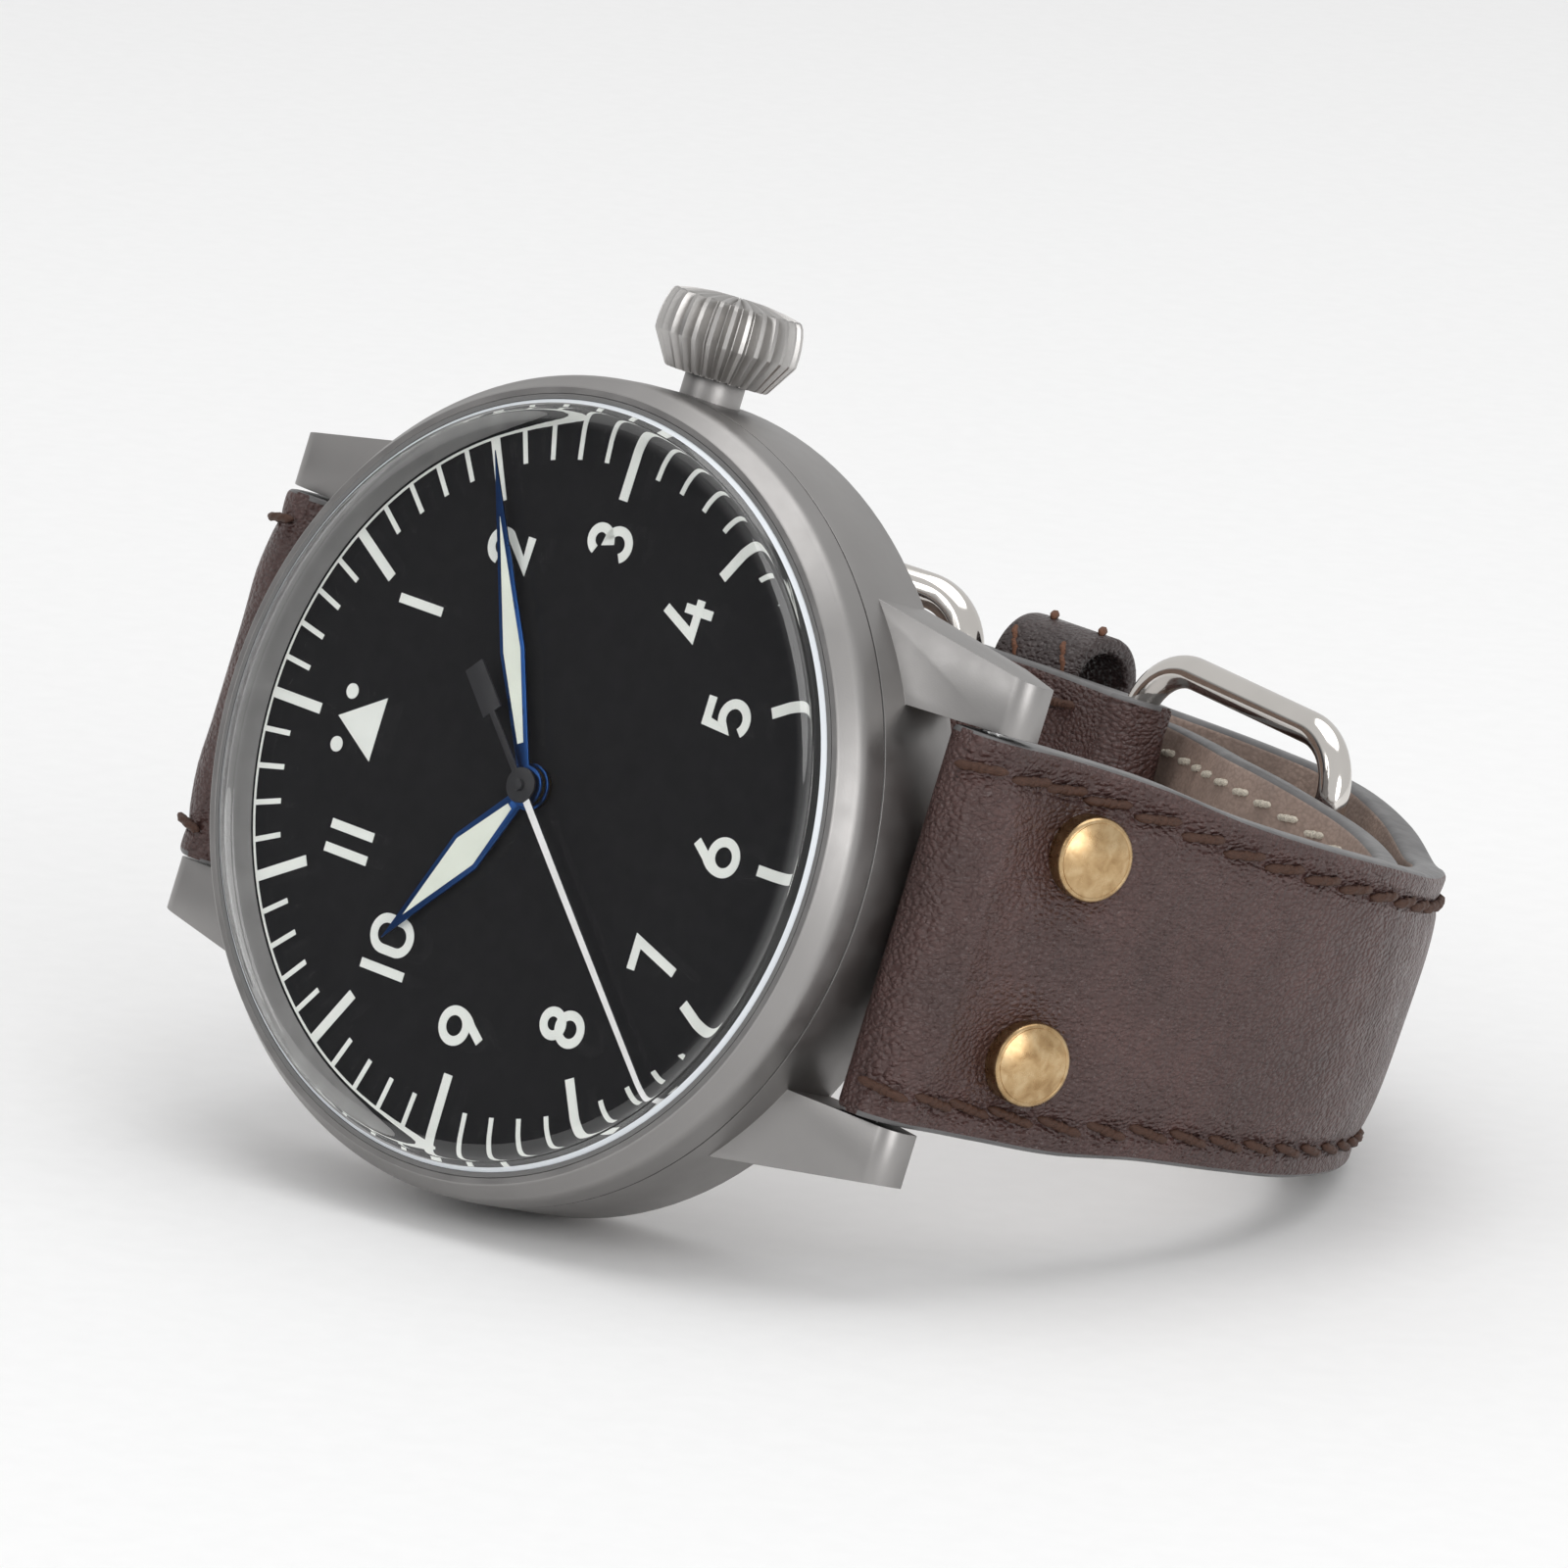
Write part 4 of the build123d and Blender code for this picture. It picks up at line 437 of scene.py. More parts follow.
def leather(name, colour, roughness, grain=0.36, depth=0.17, wrinkle=0.30):
    """Waxed leather: fine pebbles, soft directed wrinkles and cloudy colour."""
    shader = Shader(name, colour, 0.0, roughness)
    along = shader.mapped((1.0, 1.0, 0.5))
    pebbles = shader.cells(grain, shader.wobbled(0.9, 0.5, shader.mapped((1.0, 1.0, 1.5))))
    cloud = shader.clouds(shader.noise(4.0, 5.0), 0.72, 1.2, 0.72)
    finish = shader.mix(shader.spread(pebbles, 0.0, 0.55, 0.35, 0.75), cloud, shader.shade(0.62))
    shader.set({"Base Color": finish, "Roughness": shader.smears(shader.noise(1.4), 0.06, 0.08)})
    shader.bump(shader.noise(6.0, 2.0, along, 0.4), 0.35, 0.8)
    shader.bump(shader.noise(1.9, 4.0, along, 0.6), wrinkle, 0.8)
    shader.bump(shader.spread(pebbles, 1.0, 0.0, 0.1, 0.8), depth, 0.9)
    shader.bump(shader.noise(grain * 0.6), depth * 0.5, 0.6)


def thread_finish(name, colour):
    """Waxed thread: a twist of fibres."""
    shader = Shader(name, colour, 0.0, 0.6)
    fibre = shader.noise(0.12, 3.0, shader.mapped((1.0, 1.0, 2.5)))
    shader.set({"Base Color": shader.clouds(fibre, 0.6, 1.3), "Specular IOR Level": 0.3})
    shader.bump(fibre, 0.03, 0.6)


def aged_brass(name):
    """Antique brass: a fine mottled patina over yellow metal."""
    shader = Shader(name, (0.42, 0.31, 0.17), 1.0, 0.3)
    stops = [(0.30, (0.38, 0.24, 0.115)), (0.5, (0.50, 0.34, 0.175)), (0.70, (0.60, 0.44, 0.25))]
    shader.set({"Base Color": shader.ramp(shader.noise(0.7, 6.0, distortion=0.4), stops),
                "Roughness": shader.smears(shader.noise(0.3, 4.0), 0.05, 0.04)})
    shader.bump(shader.noise(0.14, 4.0), 0.006, 0.4)


def painted_highlight_glass(name):
    """The crystal's bevelled edge, pale and only a little clear: a painted highlight for the bright line
    where the bevel catches the light.
    """
    shader = Shader(name, (0.80, 0.84, 0.88), 0.0, 0.35)
    shader.set({"IOR": 1.6, "Transmission Weight": 0.12,
                "Roughness": shader.smears(shader.noise(0.5), 0.05, 0.07)})
    shader.bump(shader.noise(0.12, 2.0), 0.004, 0.5)


def clear_crystal(name):
    """Coated sapphire that lets the lamps' light through to the dial."""
    shader = Shader(name, (1.0, 1.0, 1.0), 0.0, 0.0)
    shader.set({"Transmission Weight": 1.0, "IOR": 1.6, "Specular IOR Level": 0.12,
                "Roughness": shader.smears(shader.noise(4.0, 2.0), 0.0, 0.008)})
    path, through = shader.new("LightPath", {}), shader.new("BsdfTransparent", {})
    mixed = shader.new("MixShader", {"Fac": path.outputs["Is Shadow Ray"], 1: shader.body.outputs["BSDF"],
                                     2: through.outputs["BSDF"]})
    shader.feed(shader.tree.nodes["Material Output"], {"Surface": mixed.outputs["Shader"]})


def make_materials(settings):
    """Make each of the watch's finishes."""
    blasted_steel("blasted_steel", tuple(settings.steel_colour), 0.42, BEZEL_JOINT)
    # The crown's steel is the case's blasted steel painted lighter: painted light that makes up for the
    # shade the crown sits in.
    blasted_steel("crown_steel", (0.46, 0.448, 0.436), 0.36)
    polished("polished_steel", (0.70, 0.70, 0.70), 0.12)
    matte("crystal_seal", (0.15, 0.148, 0.146), 0.5, 0.3, 0.004, 0.04)
    polished("polished_nickel", (0.70, 0.67, 0.635), 0.09)
    aged_brass("aged_brass")
    polished("gilt_brass", (0.78, 0.56, 0.25), 0.25)
    blasted_steel("movement_plate", (0.62, 0.60, 0.55), 0.32)
    matte("dial_black", (0.0060, 0.0060, 0.0062), 0.7, 0.12, 0.006, 0.15, 0.2)
    matte("grey_ring", (0.26, 0.256, 0.253), 0.4)
    matte("pale_print", (0.93, 0.96, 0.91), 0.6, 0.1, 0.01, 0.03)
    matte("hand_filling", (0.88, 0.93, 0.82), 0.65, 0.15, 0.02, 0.04)
    polished("blued_steel", (0.024, 0.086, 0.28), 0.28)
    matte("white_paint", (0.95, 0.95, 0.93), 0.4)
    matte("black_paint", (0.018, 0.018, 0.020), 0.5)
    matte("black_rubber", (0.02, 0.02, 0.02), 0.7)
    matte("holder_plastic", (0.70, 0.70, 0.68), 0.5)
    leather("brown_leather", tuple(settings.leather_colour), 0.36)
    leather("dark_leather", (0.042, 0.026, 0.025), 0.36, 0.34, 0.12, 0.18)
    matte("painted_edge", (0.115, 0.112, 0.113), 0.42, 0.3, 0.03, 0.2)
    leather("tan_lining", (0.36, 0.265, 0.22), 0.5, 0.3, 0.012, 0.14)
    thread_finish("brown_thread", (0.066, 0.030, 0.019))
    thread_finish("tan_thread", (0.135, 0.055, 0.028))
    thread_finish("cream_thread", (0.60, 0.55, 0.46))
    clear_crystal("sapphire")
    # The crystal's pale edge is a painted highlight where its bevel catches the light.
    painted_highlight_glass("sapphire_edge")


def smooth_path(stations, steps):
    """Stations interpolated by a smooth curve through each of them."""
    path = []
    last = len(stations) - 1
    for number in range(last):
        before = Vector(stations[max(number - 1, 0)])
        start = Vector(stations[number])
        end = Vector(stations[number + 1])
        after = Vector(stations[min(number + 2, last)])
        for step in range(steps):
            share = step / steps
            square = share * share
            cube = square * share
            path.append(0.5 * (2 * start + (end - before) * share
                               + (2 * before - 5 * start + 4 * end - after) * square
                               + (3 * start - before - 3 * end + after) * cube))
    path.append(Vector(stations[last]))
    return path


class Band:
    """A leather band along a path, with a round-edged profile and a seam inside each edge."""

    steps = 10
    seam = 1.6
    full_half_width = 8.0

    def __init__(self, stations, side, puff=0.42, groove=0.14, rivets=RIVET_DIMPLES, start_round=True,
                 end_round=False):
        self.side = side
        self.puff = puff
        self.groove = groove
        self.rivets = rivets
        self.path = smooth_path(stations, self.steps)
        self.rounded = (start_round, end_round)
        self.measure()

    def measure(self):
        """Note each station's place, directions and distance along the band."""
        self.places, self.ways, self.outs, self.sides, self.runs = [], [], [], [], []
        run = 0.0
        last = len(self.path) - 1
        for number, (across, behind, rise, _, _, slant) in enumerate(self.path):
            before = self.path[max(number - 1, 0)]
            after = self.path[min(number + 1, last)]
            along = (SIX_WAY * (after[0] - before[0]) - DIAL_OUT * (after[1] - before[1])).normalized()
            level = CROWN_WAY.cross(along) * self.side
            lean = radians(slant)
            place = DIAL_PLACE + SIX_WAY * across + CROWN_WAY * rise - DIAL_OUT * behind
            if number:
                run += (place - self.places[-1]).length
            self.places.append(place)
            self.ways.append(along)
            self.outs.append(level * cos(lean) - CROWN_WAY * sin(lean))
            self.sides.append(CROWN_WAY * cos(lean) + level * sin(lean))
            self.runs.append(run)

    def seam_line(self, half_width):
        """How far aside the seam runs, and the scale of the edge's details where the band narrows."""
        scale = min(1.0, half_width / self.full_half_width)
        return half_width - self.seam * scale, scale

    def outer(self, aside, half_width, thickness, run):
        """Height of the outer face at a distance aside from the middle line."""
        reach, scale = self.seam_line(half_width)
        swell = self.puff * (max(0.0, 1 - (aside / reach) ** 4) - 1)
        dip = self.groove * exp(-((abs(aside) - reach) / (0.42 * scale)) ** 2)
        height = thickness / 2 + swell - dip
        for rivet_aside, rivet_run, depth, width in self.rivets:
            gap = hypot(aside - rivet_aside, run - rivet_run)
            height -= depth * exp(-(gap / width) ** 2)
        return height

    def profile(self, half_width, thickness, run):
        """The closed outline across the band, with each corner's material number."""
        edge = min(0.42, thickness * 0.3)
        reach, scale = self.seam_line(half_width)
        inner = reach - 0.8 * scale
        asides = [share * inner for share in (0.0, 0.12, 0.24, 0.36, 0.48, 0.6, 0.7, 0.8, 0.9, 1.0)]
        asides += [reach + offset * scale for offset in (-0.45, -0.2, 0.0, 0.2, 0.45, 0.85)]
        outline = []
        for aside in [-value for value in reversed(asides[1:])] + asides:
            outline.append((aside, self.outer(aside, half_width, thickness, run), 0))
        top = self.outer(half_width - edge, half_width, thickness, run)
        corners = [(pi / 2 * (1 - step / 4), top - edge, int(step > 1)) for step in range(5)]
        corners += [(-pi / 2 * step / 4, edge - thickness / 2, 1 + int(step > 2)) for step in range(5)]
        reach = half_width - edge
        for swing, base, mark in corners:
            outline.append((reach + edge * cos(swing), base + edge * sin(swing), mark))
        for share in (0.75, 0.5, 0.25, 0.0, -0.25, -0.5, -0.75):
            outline.append((share * reach, -thickness / 2, 2))
        for swing, base, mark in reversed(corners):
            outline.append((-reach - edge * cos(swing), base + edge * sin(swing), mark))
        return outline

    def clear_of_case(self, place):
        """Push a place near the case out to the strap's clearance from the case wall."""
        offset = place - DIAL_PLACE
        across, rise, out = offset.dot(SIX_WAY), offset.dot(CROWN_WAY), offset.dot(DIAL_OUT)
        if out < -RELIEF_DEPTH or hypot(across, rise) > CASE_CLEARANCE:
            return place
        clear = copysign(sqrt(CASE_CLEARANCE ** 2 - rise ** 2), across)
        return place + SIX_WAY * (clear - across)

    def ring(self, number, points, lift=1.0, way=0.0):
        """Add one ring of corners, flattened and moved on when it rounds an end."""
        _, _, _, half_width, thickness, _ = self.path[number]
        ring = []
        for aside, height, _ in self.profile(half_width, thickness, self.runs[number]):
            place = (self.places[number] + self.sides[number] * aside + self.outs[number] * height * lift
                     + self.ways[number] * way)
            ring.append(len(points))
            points.append(self.clear_of_case(place) * MM)
        return ring

    def mesh(self, name, start_wrap=0.0, end_wrap=0.0):
        """Build the band's mesh, in metres, its skin wrapped round inside for a way at each end."""
        points, numbers = [], []
        last = len(self.path) - 1
        marks = [mark for _, _, mark in self.profile(self.path[0][3], self.path[0][4], 0.0)]
        rings = [self.ring(number, points) for number in range(last + 1)]
        caps = []
        for number, sign, rounded in ((0, -1, self.rounded[0]), (last, 1, self.rounded[1])):
            reach = self.path[number][4] / 2 if rounded else 0.25
            swings = [pi / 2 * step / 8 for step in range(1, 8)] if rounded else [0.5, 1.1]
            cap = []
            for swing in swings:
                lift = cos(swing) if rounded else 1 - 0.15 * sin(swing)
                cap.append(self.ring(number, points, lift, sign * reach * sin(swing)))
            caps.append(cap)
        rings = list(reversed(caps[0])) + rings + caps[1]
        runs = [0.0] * len(caps[0]) + self.runs + [self.runs[-1]] * len(caps[1])
        faces = skin(rings)
        for run in runs[:-1]:
            wrapped = run < start_wrap or run > self.runs[-1] - end_wrap
            numbers += [0 if wrapped and mark == 2 else mark for mark in marks]
        for ring, rounded in ((rings[0], self.rounded[0]), (rings[-1], self.rounded[1])):
            faces += fan(ring, len(points))
            numbers += [0 if rounded else 1] * len(ring)
            points.append(sum((points[index] for index in ring), Vector()) / len(ring))
        piece = mesh_piece(name, points, faces)
        piece.data.polygons.foreach_set("material_index", numbers)
        paint(piece, "brown_leather", "painted_edge", "tan_lining")
        face_outward(piece)
        smooth(piece, 60)
        return piece

    def spot(self, run, aside, outer, lift):
        """A place on a face of the band, with the way along it and the way out of it."""
        number = 0
        while number < len(self.runs) - 2 and self.runs[number + 1] < run:
            number += 1
        share = (run - self.runs[number]) / max(self.runs[number + 1] - self.runs[number], 1e-6)
        place, way, out, sideways, row = (
            line[number].lerp(line[number + 1], share)
            for line in (self.places, self.ways, self.outs, self.sides, self.path))
        way, out, sideways = way.normalized(), out.normalized(), sideways.normalized()
        half_width, thickness = row[3], row[4]
        real_aside = aside * self.seam_line(half_width)[0]
        height = self.outer(real_aside, half_width, thickness, run) if outer else -thickness / 2
        if run < 0 and self.rounded[0]:
            swing = -run / height
            place = self.places[0].copy()
            turned = out * cos(swing) - way * sin(swing)
            way = way * cos(swing) + out * sin(swing)
            out = turned
        place = place + sideways * real_aside + out * (height + (lift if outer else -lift))
        return place, way, out if outer else -out


def stitch_form(length, thick):
    """One stitch: a squeezed ball drawn out and twisted, sunk at both ends; its corners and faces."""
    around, levels = 8, 12
    points = []
    for level in range(levels + 1):
        share, round_reach = -cos(pi * level / levels), sin(pi * level / levels)
        reach = 0.5 * thick * round_reach * (1 - 0.55 * share ** 4) / max(round_reach, 0.35)
        twist = 1.5 * pi * share
        for corner in range(around if 0 < level < levels else 1):
            swing = 2 * pi * corner / around
            x, y = 0.84 * reach * cos(swing), 1.08 * reach * sin(swing)
            points.append((share * length / 2, x * sin(twist) + y * cos(twist),
                           x * cos(twist) - y * sin(twist) - 0.3 * thick * share ** 4))
    rings = [range(first, first + around) for first in range(1, len(points) - 1, around)]
    # The rings are joined from the far end, so that each face folds along the twist.
    return points, fan(rings[0], 0) + skin(rings[::-1]) + fan(rings[-1], len(points) - 1)


def stitch_row(name, spots, length, thick, slant, finish, slot_name, body=BODY):
    """A row of stitches, one at each spot of a list of places, ways and outs."""
    form, form_faces = stitch_form(length, thick)
    points, faces = [], []
    for place, way, out in spots:
        side = out.cross(way).normalized()
        leant = (way * cos(slant) + side * sin(slant)).normalized()
        across = out.cross(leant).normalized()
        first = len(points)
        for along, aside, up in form:
            points.append((place + leant * along + across * aside + out * up) * MM)
        faces += [tuple(first + corner for corner in face) for face in form_faces]
    piece = mesh_piece(name, points, faces)
    face_outward(piece)
    smooth(piece, 60)
    paint(piece, finish)
    place_piece(piece, body, slot_name)


def run_spots(band, start, end, pitch, aside, outer, lift):
    """Spots at an even pitch along a band."""
    count = max(1, int((end - start) / pitch))
    return [band.spot(start + (number + 0.5) * (end - start) / count, aside, outer, lift)
            for number in range(count)]


def ribbon(points, width, closed):
    """A flat ribbon along a line of points, as left and right edge points."""
    edges = []
    last = len(points) - 1
    for number, point in enumerate(points):
        if closed:
            before, after = points[number - 1], points[(number + 1) % len(points)]
        else:
            before, after = points[max(number - 1, 0)], points[min(number + 1, last)]
        ways = [Vector(end) - Vector(start) for start, end in ((before, point), (point, after))]
        ways = [way.normalized() for way in ways if way.length > 1e-6]
        mitre = sum(ways, Vector((0, 0))).normalized()
        normal = Vector((-mitre.y, mitre.x))
        reach = width / 2 / max(normal.dot(Vector((-ways[0].y, ways[0].x))), 0.5)
        edges.append((Vector(point) + normal * reach, Vector(point) - normal * reach))
    return edges


def arc(centre, radius, start, end, steps=18):
    """Points on an arc, angles in degrees."""
    return [(centre[0] + radius * cos(radians(start + (end - start) * step / steps)),
             centre[1] + radius * sin(radians(start + (end - start) * step / steps)))
            for step in range(steps + 1)]


def numeral_strokes():
    """The centre lines of each numeral, upright, in millimetres."""
    six = arc((0.55, -0.44), 1.325, 180, 128, 12) + [(0.34, 1.42)]
    return {
        "0": [arc((0, 0.42), 0.79, 0, 180) + arc((0, -0.42), 0.79, 180, 360) + [(0.79, 0.42)]],
        "1": [[(0, -1.475), (0, 1.475)]],
        "2": [arc((0.0, 0.5), 0.73, 172, -28, 20) + [(-0.66, -1.215), (0.86, -1.215)]],
        "3": [arc((-0.02, 0.62), 0.61, 160, -80, 20) + arc((-0.02, -0.52), 0.70, 85, -155, 20)],
        "4": [[(0.12, 1.475), (-0.83, -0.55), (1.0, -0.55)], [(0.42, 0.28), (0.42, -1.475)]],
        "5": [[(0.75, 1.215), (-0.52, 1.215), (-0.62, 0.02)] + arc((0, -0.45), 0.765, 118, -140, 22)],
        "6": [arc((0, -0.44), 0.775, 0, 360, 32), six],
        "7": [[(-0.80, 1.215), (0.68, 1.215), (-0.22, -1.475)]],
        "8": [arc((0, 0.61), 0.60, 0, 360, 28), arc((0, -0.51), 0.71, 0, 360, 30)],
        "9": [arc((0, 0.44), 0.775, 0, 360, 32), [(-x, -y) for x, y in six]],
    }


class Print:
    """Flat printing, gathered as faces, each stroke a hair above the one before, and then raised."""

    thickness = 0.03

    def __init__(self):
        self.points, self.faces = [], []
        self.level = 0.0

    def polygon(self, corners):
        """One flat face."""
        first = len(self.points)
        self.points += [(x, y, self.level) for x, y in corners]
        self.faces.append(tuple(range(first, first + len(corners))))

    def line(self, points, width):
        """A ribbon of faces, closed when the line comes back to its first point."""
        closed = (Vector(points[0]) - Vector(points[-1])).length < 1e-6
        edges = ribbon(points[:-1] if closed else points, width, closed)
        first = len(self.points)
        for left, right in edges:
            self.points += [(left.x, left.y, self.level), (right.x, right.y, self.level)]
        count = len(edges)
        for number in range(count if closed else count - 1):
            following = (number + 1) % count
            self.faces.append((first + 2 * number, first + 2 * number + 1,
                               first + 2 * following + 1, first + 2 * following))

    def piece(self, name, level):
        """Raise the printing and carry it to the dial."""
        made = mesh_piece(name, self.points, self.faces)
        for polygon in made.data.polygons:
            if polygon.normal.z < 0:
                polygon.flip()
        raised = made.modifiers.new("height", "SOLIDIFY")
        raised.thickness = self.thickness
        raised.offset = 1.0
        apply_modifiers(made)
        return settle(made, dial_matrix(level))


NUMERAL_PLACES = [
    ("1", -10.6, 6.7), ("2", -6.1, 10.9), ("3", 0.0, 12.85), ("4", 6.15, 10.6), ("5", 10.4, 6.6),
    ("6", 12.3, 0.0), ("7", 10.4, -6.0), ("8", 6.1, -10.7), ("9", -0.1, -12.6),
    ("1", -6.1, -11.3), ("0", -6.1, -9.5), ("1", -10.6, -6.46), ("1", -10.6, -5.23)]


def print_dial():
    """Track, minute lines, hour bars, triangle, dots and numerals."""
    track_radius, line_end, dot_radius, numeral_width = 18.35, 18.3, 0.4, 0.49
    printing = Print()
    printing.line(arc((0, 0), track_radius, 0, 360, 180), 0.13)
    printing.level = 0.003
    for minute in range(60):
        swing = radians(6 * minute)
        start, width = (15.0, 0.56) if minute % 5 == 0 else (16.6, 0.28)
        way = (-cos(swing), sin(swing))
        printing.line([(reach * way[0], reach * way[1]) for reach in (start, line_end)], width)
    printing.polygon([(-13.73, 0.0), (-10.9, -1.675), (-10.9, 1.675)])
    for rise in (-1.4, 1.4):
        printing.polygon(arc((-13.3, rise), dot_radius, 0, 360, 20)[:-1])
    strokes = numeral_strokes()
    for numeral, across, rise in NUMERAL_PLACES:
        for number, line in enumerate(strokes[numeral]):
            printing.level = 0.004 * number
            printing.line([(across - y, rise + x) for x, y in line], numeral_width)
    piece = printing.piece("dial_printing", 0.005)
    paint(piece, "pale_print")
    place_piece(piece, BODY, "dial_black")


def hand_plate(name, body, angle, level, finish, outline):
    """The pale filling or paint laid on a hand."""
    swing = radians(180 - angle)
    printing = Print()
    printing.polygon([(x * cos(swing) - y * sin(swing), x * sin(swing) + y * cos(swing))
                      for x, y in outline])
    piece = printing.piece(name, level)
    paint(piece, finish)
    place_piece(piece, body, slot_of_node("hour_hand"))


# The crown's rings: level along the crown's axis, radius, and share of the full flute depth.
CROWN_RINGS = [
    (24.1, 1.0, 0.0), (24.1, 2.33, 0.0), (22.1, 2.36, 0.0), (22.1, 2.62, 0.7), (22.16, 2.71, 1.0),
    (23.7, 3.66, 1.0), (23.8, 3.7, 1.0), (24.3, 3.72, 1.0), (24.8, 3.69, 1.0), (25.35, 3.6, 1.0),
    (25.75, 3.48, 1.0), (25.98, 3.34, 1.05), (26.05, 3.2, 1.1), (26.22, 2.4, 1.6), (26.34, 1.4, 2.4),
    (26.36, 0.5, 0.0)]


def turn_crown():
    """The onion crown: fluted rings skinned from its hollow foot to its ribbed top."""
    points = []
    around = 4 * CROWN_FLUTES
    for level, radius, share in CROWN_RINGS:
        for number in range(around):
            flute, corner = divmod(number, 4)
            swing = 2 * pi * (flute + (-0.13, 0.13, 0.47, 0.53)[corner]) / CROWN_FLUTES
            reach = radius * (1 - FLUTE_DEPTH * share * (corner > 1))
            drop = TOP_FLUTE_DROP * (corner > 1) * (level > 26.0) * min(1.0, radius)
            points.append((reach * cos(swing), reach * sin(swing), level - drop))
    rings = [tuple(range(first, first + around)) for first in range(0, len(points), around)]
    piece = mesh_piece("onion_crown", points, skin(rings) + [rings[0], rings[-1]])
    face_outward(piece)
    settle(piece, axes_matrix(at(0, 0, -CROWN_AXIS_DEPTH), SIX_WAY, DIAL_OUT, CROWN_WAY))
    smooth(piece, 12)
    # The crown takes the lighter copy of the case steel, its colour lifted as painted light.
    paint(piece, "crown_steel")
    stand_in(piece, "crown")


def colour_setting(name, description, default):
    """A colour that a user would change."""
    return bpy.props.FloatVectorProperty(
        name=name, description=description, subtype="COLOR", size=3, min=0, max=1, default=default)


class WatchSettings(bpy.types.PropertyGroup):
    """Colours and sizes that a user would change."""

    steel_colour: colour_setting("Steel colour", "Colour of the blasted case", (0.335, 0.325, 0.319))
    leather_colour: colour_setting("Leather colour", "Colour of the strap", (0.077, 0.038, 0.034))
    stitch_pitch: bpy.props.FloatProperty(
        name="Stitch pitch", description="Distance from stitch to stitch", unit="LENGTH", default=0.00285)


class StageSettings(bpy.types.PropertyGroup):
    """The floor, the lamps and the surrounding light."""

    floor_colour: colour_setting("Floor colour", "Colour of the floor and backdrop", (0.88, 0.88, 0.88))
    lamp_power: bpy.props.FloatProperty(
        name="Lamp power", description="Power of the main lamp", unit="POWER", default=2.6)
    room_light: bpy.props.FloatProperty(
        name="Room light", description="Strength of the light all round", default=0.72)


class WATCH_OT_case(bpy.types.Operator):
    """Finish the case, bezel, caseback, crown, inner ring and seals"""

    bl_idname = "watch.case"
    bl_label = "Case"

    def execute(self, context):
        finished_copy("mid_case", "case_middle", "blasted_steel", 0.10)
        profile = [(19.0, BEZEL_JOINT), (20.92, BEZEL_JOINT), (21.0, -0.39), (20.95, 0.60), (20.93, 0.85),
                   (20.89, 1.05), (20.80, 1.25), (20.70, 1.38), (20.64, 1.45), (20.20, 2.15), (20.16, 2.21),
                   (20.10, 2.25), (19.80, 2.25), (19.78, 2.23), (19.78, 1.58), (19.0, 1.58),
                   (19.0, BEZEL_JOINT)]
        bezel = lathe("bezel_ring", profile, TURNED_STEPS, dial_matrix())
        smooth(bezel, 24)
        paint(bezel, "blasted_steel")
        stand_in(bezel, "bezel")
        finished_copy("caseback", "case_cover", "blasted_steel", 0.08)
        turn_crown()
        finished_copy("crown_tube", "crown_neck", "blasted_steel", 0.03)
        finished_copy("rehaut", "inner_ring", "grey_ring")
        finished_copy("crystal_gasket", "crystal_seal", "crystal_seal")
        for node in ("caseback_gasket", "crown_gasket"):
            paint(frame["nodes"][node], "black_rubber")
        paint(frame["nodes"]["movement_ring"], "holder_plastic")
        return {"FINISHED"}


class WATCH_OT_crystal(bpy.types.Operator):
    """Turn the domed crystal with its rounded shoulder and bevelled edge"""

    bl_idname = "watch.crystal"
    bl_label = "Crystal"

    def execute(self, context):
        dome_radius, top, fall = 17.8, 3.25, 0.27
        profile = [(dome_radius * step / 24, top - fall * (step / 24) ** 2) for step in range(25)]
        for step in range(1, 13):
            swing = pi / 2 * step / 12
            profile.append((dome_radius + 1.25 * sin(swing),
                            top - fall - 0.33 * (1 - cos(swing)) - 0.02 * sin(swing)))
        profile += [(19.28, 2.44), (19.44, 2.28), (19.5, 2.2), (19.5, 1.62), (19.45, 1.58)]
        profile += [(radius, 1.58) for radius in (19.0, 14.0, 7.0, 0.0)]
        piece = lathe("domed_crystal", profile, TURNED_STEPS, dial_matrix())
        smooth(piece, 24)
        paint(piece, "sapphire", "sapphire_edge")
        # Faces beyond this radius take the pale edge, a painted highlight for the bevel's bright line.
        clear_radius = 19.24
        for polygon in piece.data.polygons:
            offset = polygon.center / MM - DIAL_PLACE
            if (offset - DIAL_OUT * offset.dot(DIAL_OUT)).length > clear_radius:
                polygon.material_index = 1
        stand_in(piece, "crystal")
        return {"FINISHED"}


class WATCH_OT_dial(bpy.types.Operator):
    """Finish the dial and print it"""

    bl_idname = "watch.dial"
    bl_label = "Dial"

    def execute(self, context):
        finished_copy("dial", "dial_disc", "dial_black")
        print_dial()
        return {"FINISHED"}


class WATCH_OT_hands(bpy.types.Operator):
    """Finish the hour, minute and seconds hands"""

    bl_idname = "watch.hands"
    bl_label = "Hands"

    def execute(self, context):
        finished_copy("hour_hand", "hour_blade", "blued_steel", 0.03)
        finished_copy("minute_hand", "minute_blade", "blued_steel", 0.03)
        hand_plate("hour_filling", "hours_body", 303.5, 0.455, "hand_filling",
                   [(1.5, -0.18), (5.0, -0.88), (9.9, 0.0), (5.0, 0.88), (1.5, 0.18)])
        hand_plate("minute_filling", "minutes_body", 61.5, 0.815, "hand_filling",
                   [(2.2, -0.18), (7.0, -0.54), (14.0, 0.0), (7.0, 0.54), (2.2, 0.18)])
        finished_copy("seconds_hand", "seconds_pointer", "black_paint", 0.02)
        hand_plate("seconds_paint", "seconds_body", 223.2, 1.175, "white_paint",
                   [(0.95, -0.2), (18.15, -0.15), (18.15, 0.15), (0.95, 0.2)])
        return {"FINISHED"}


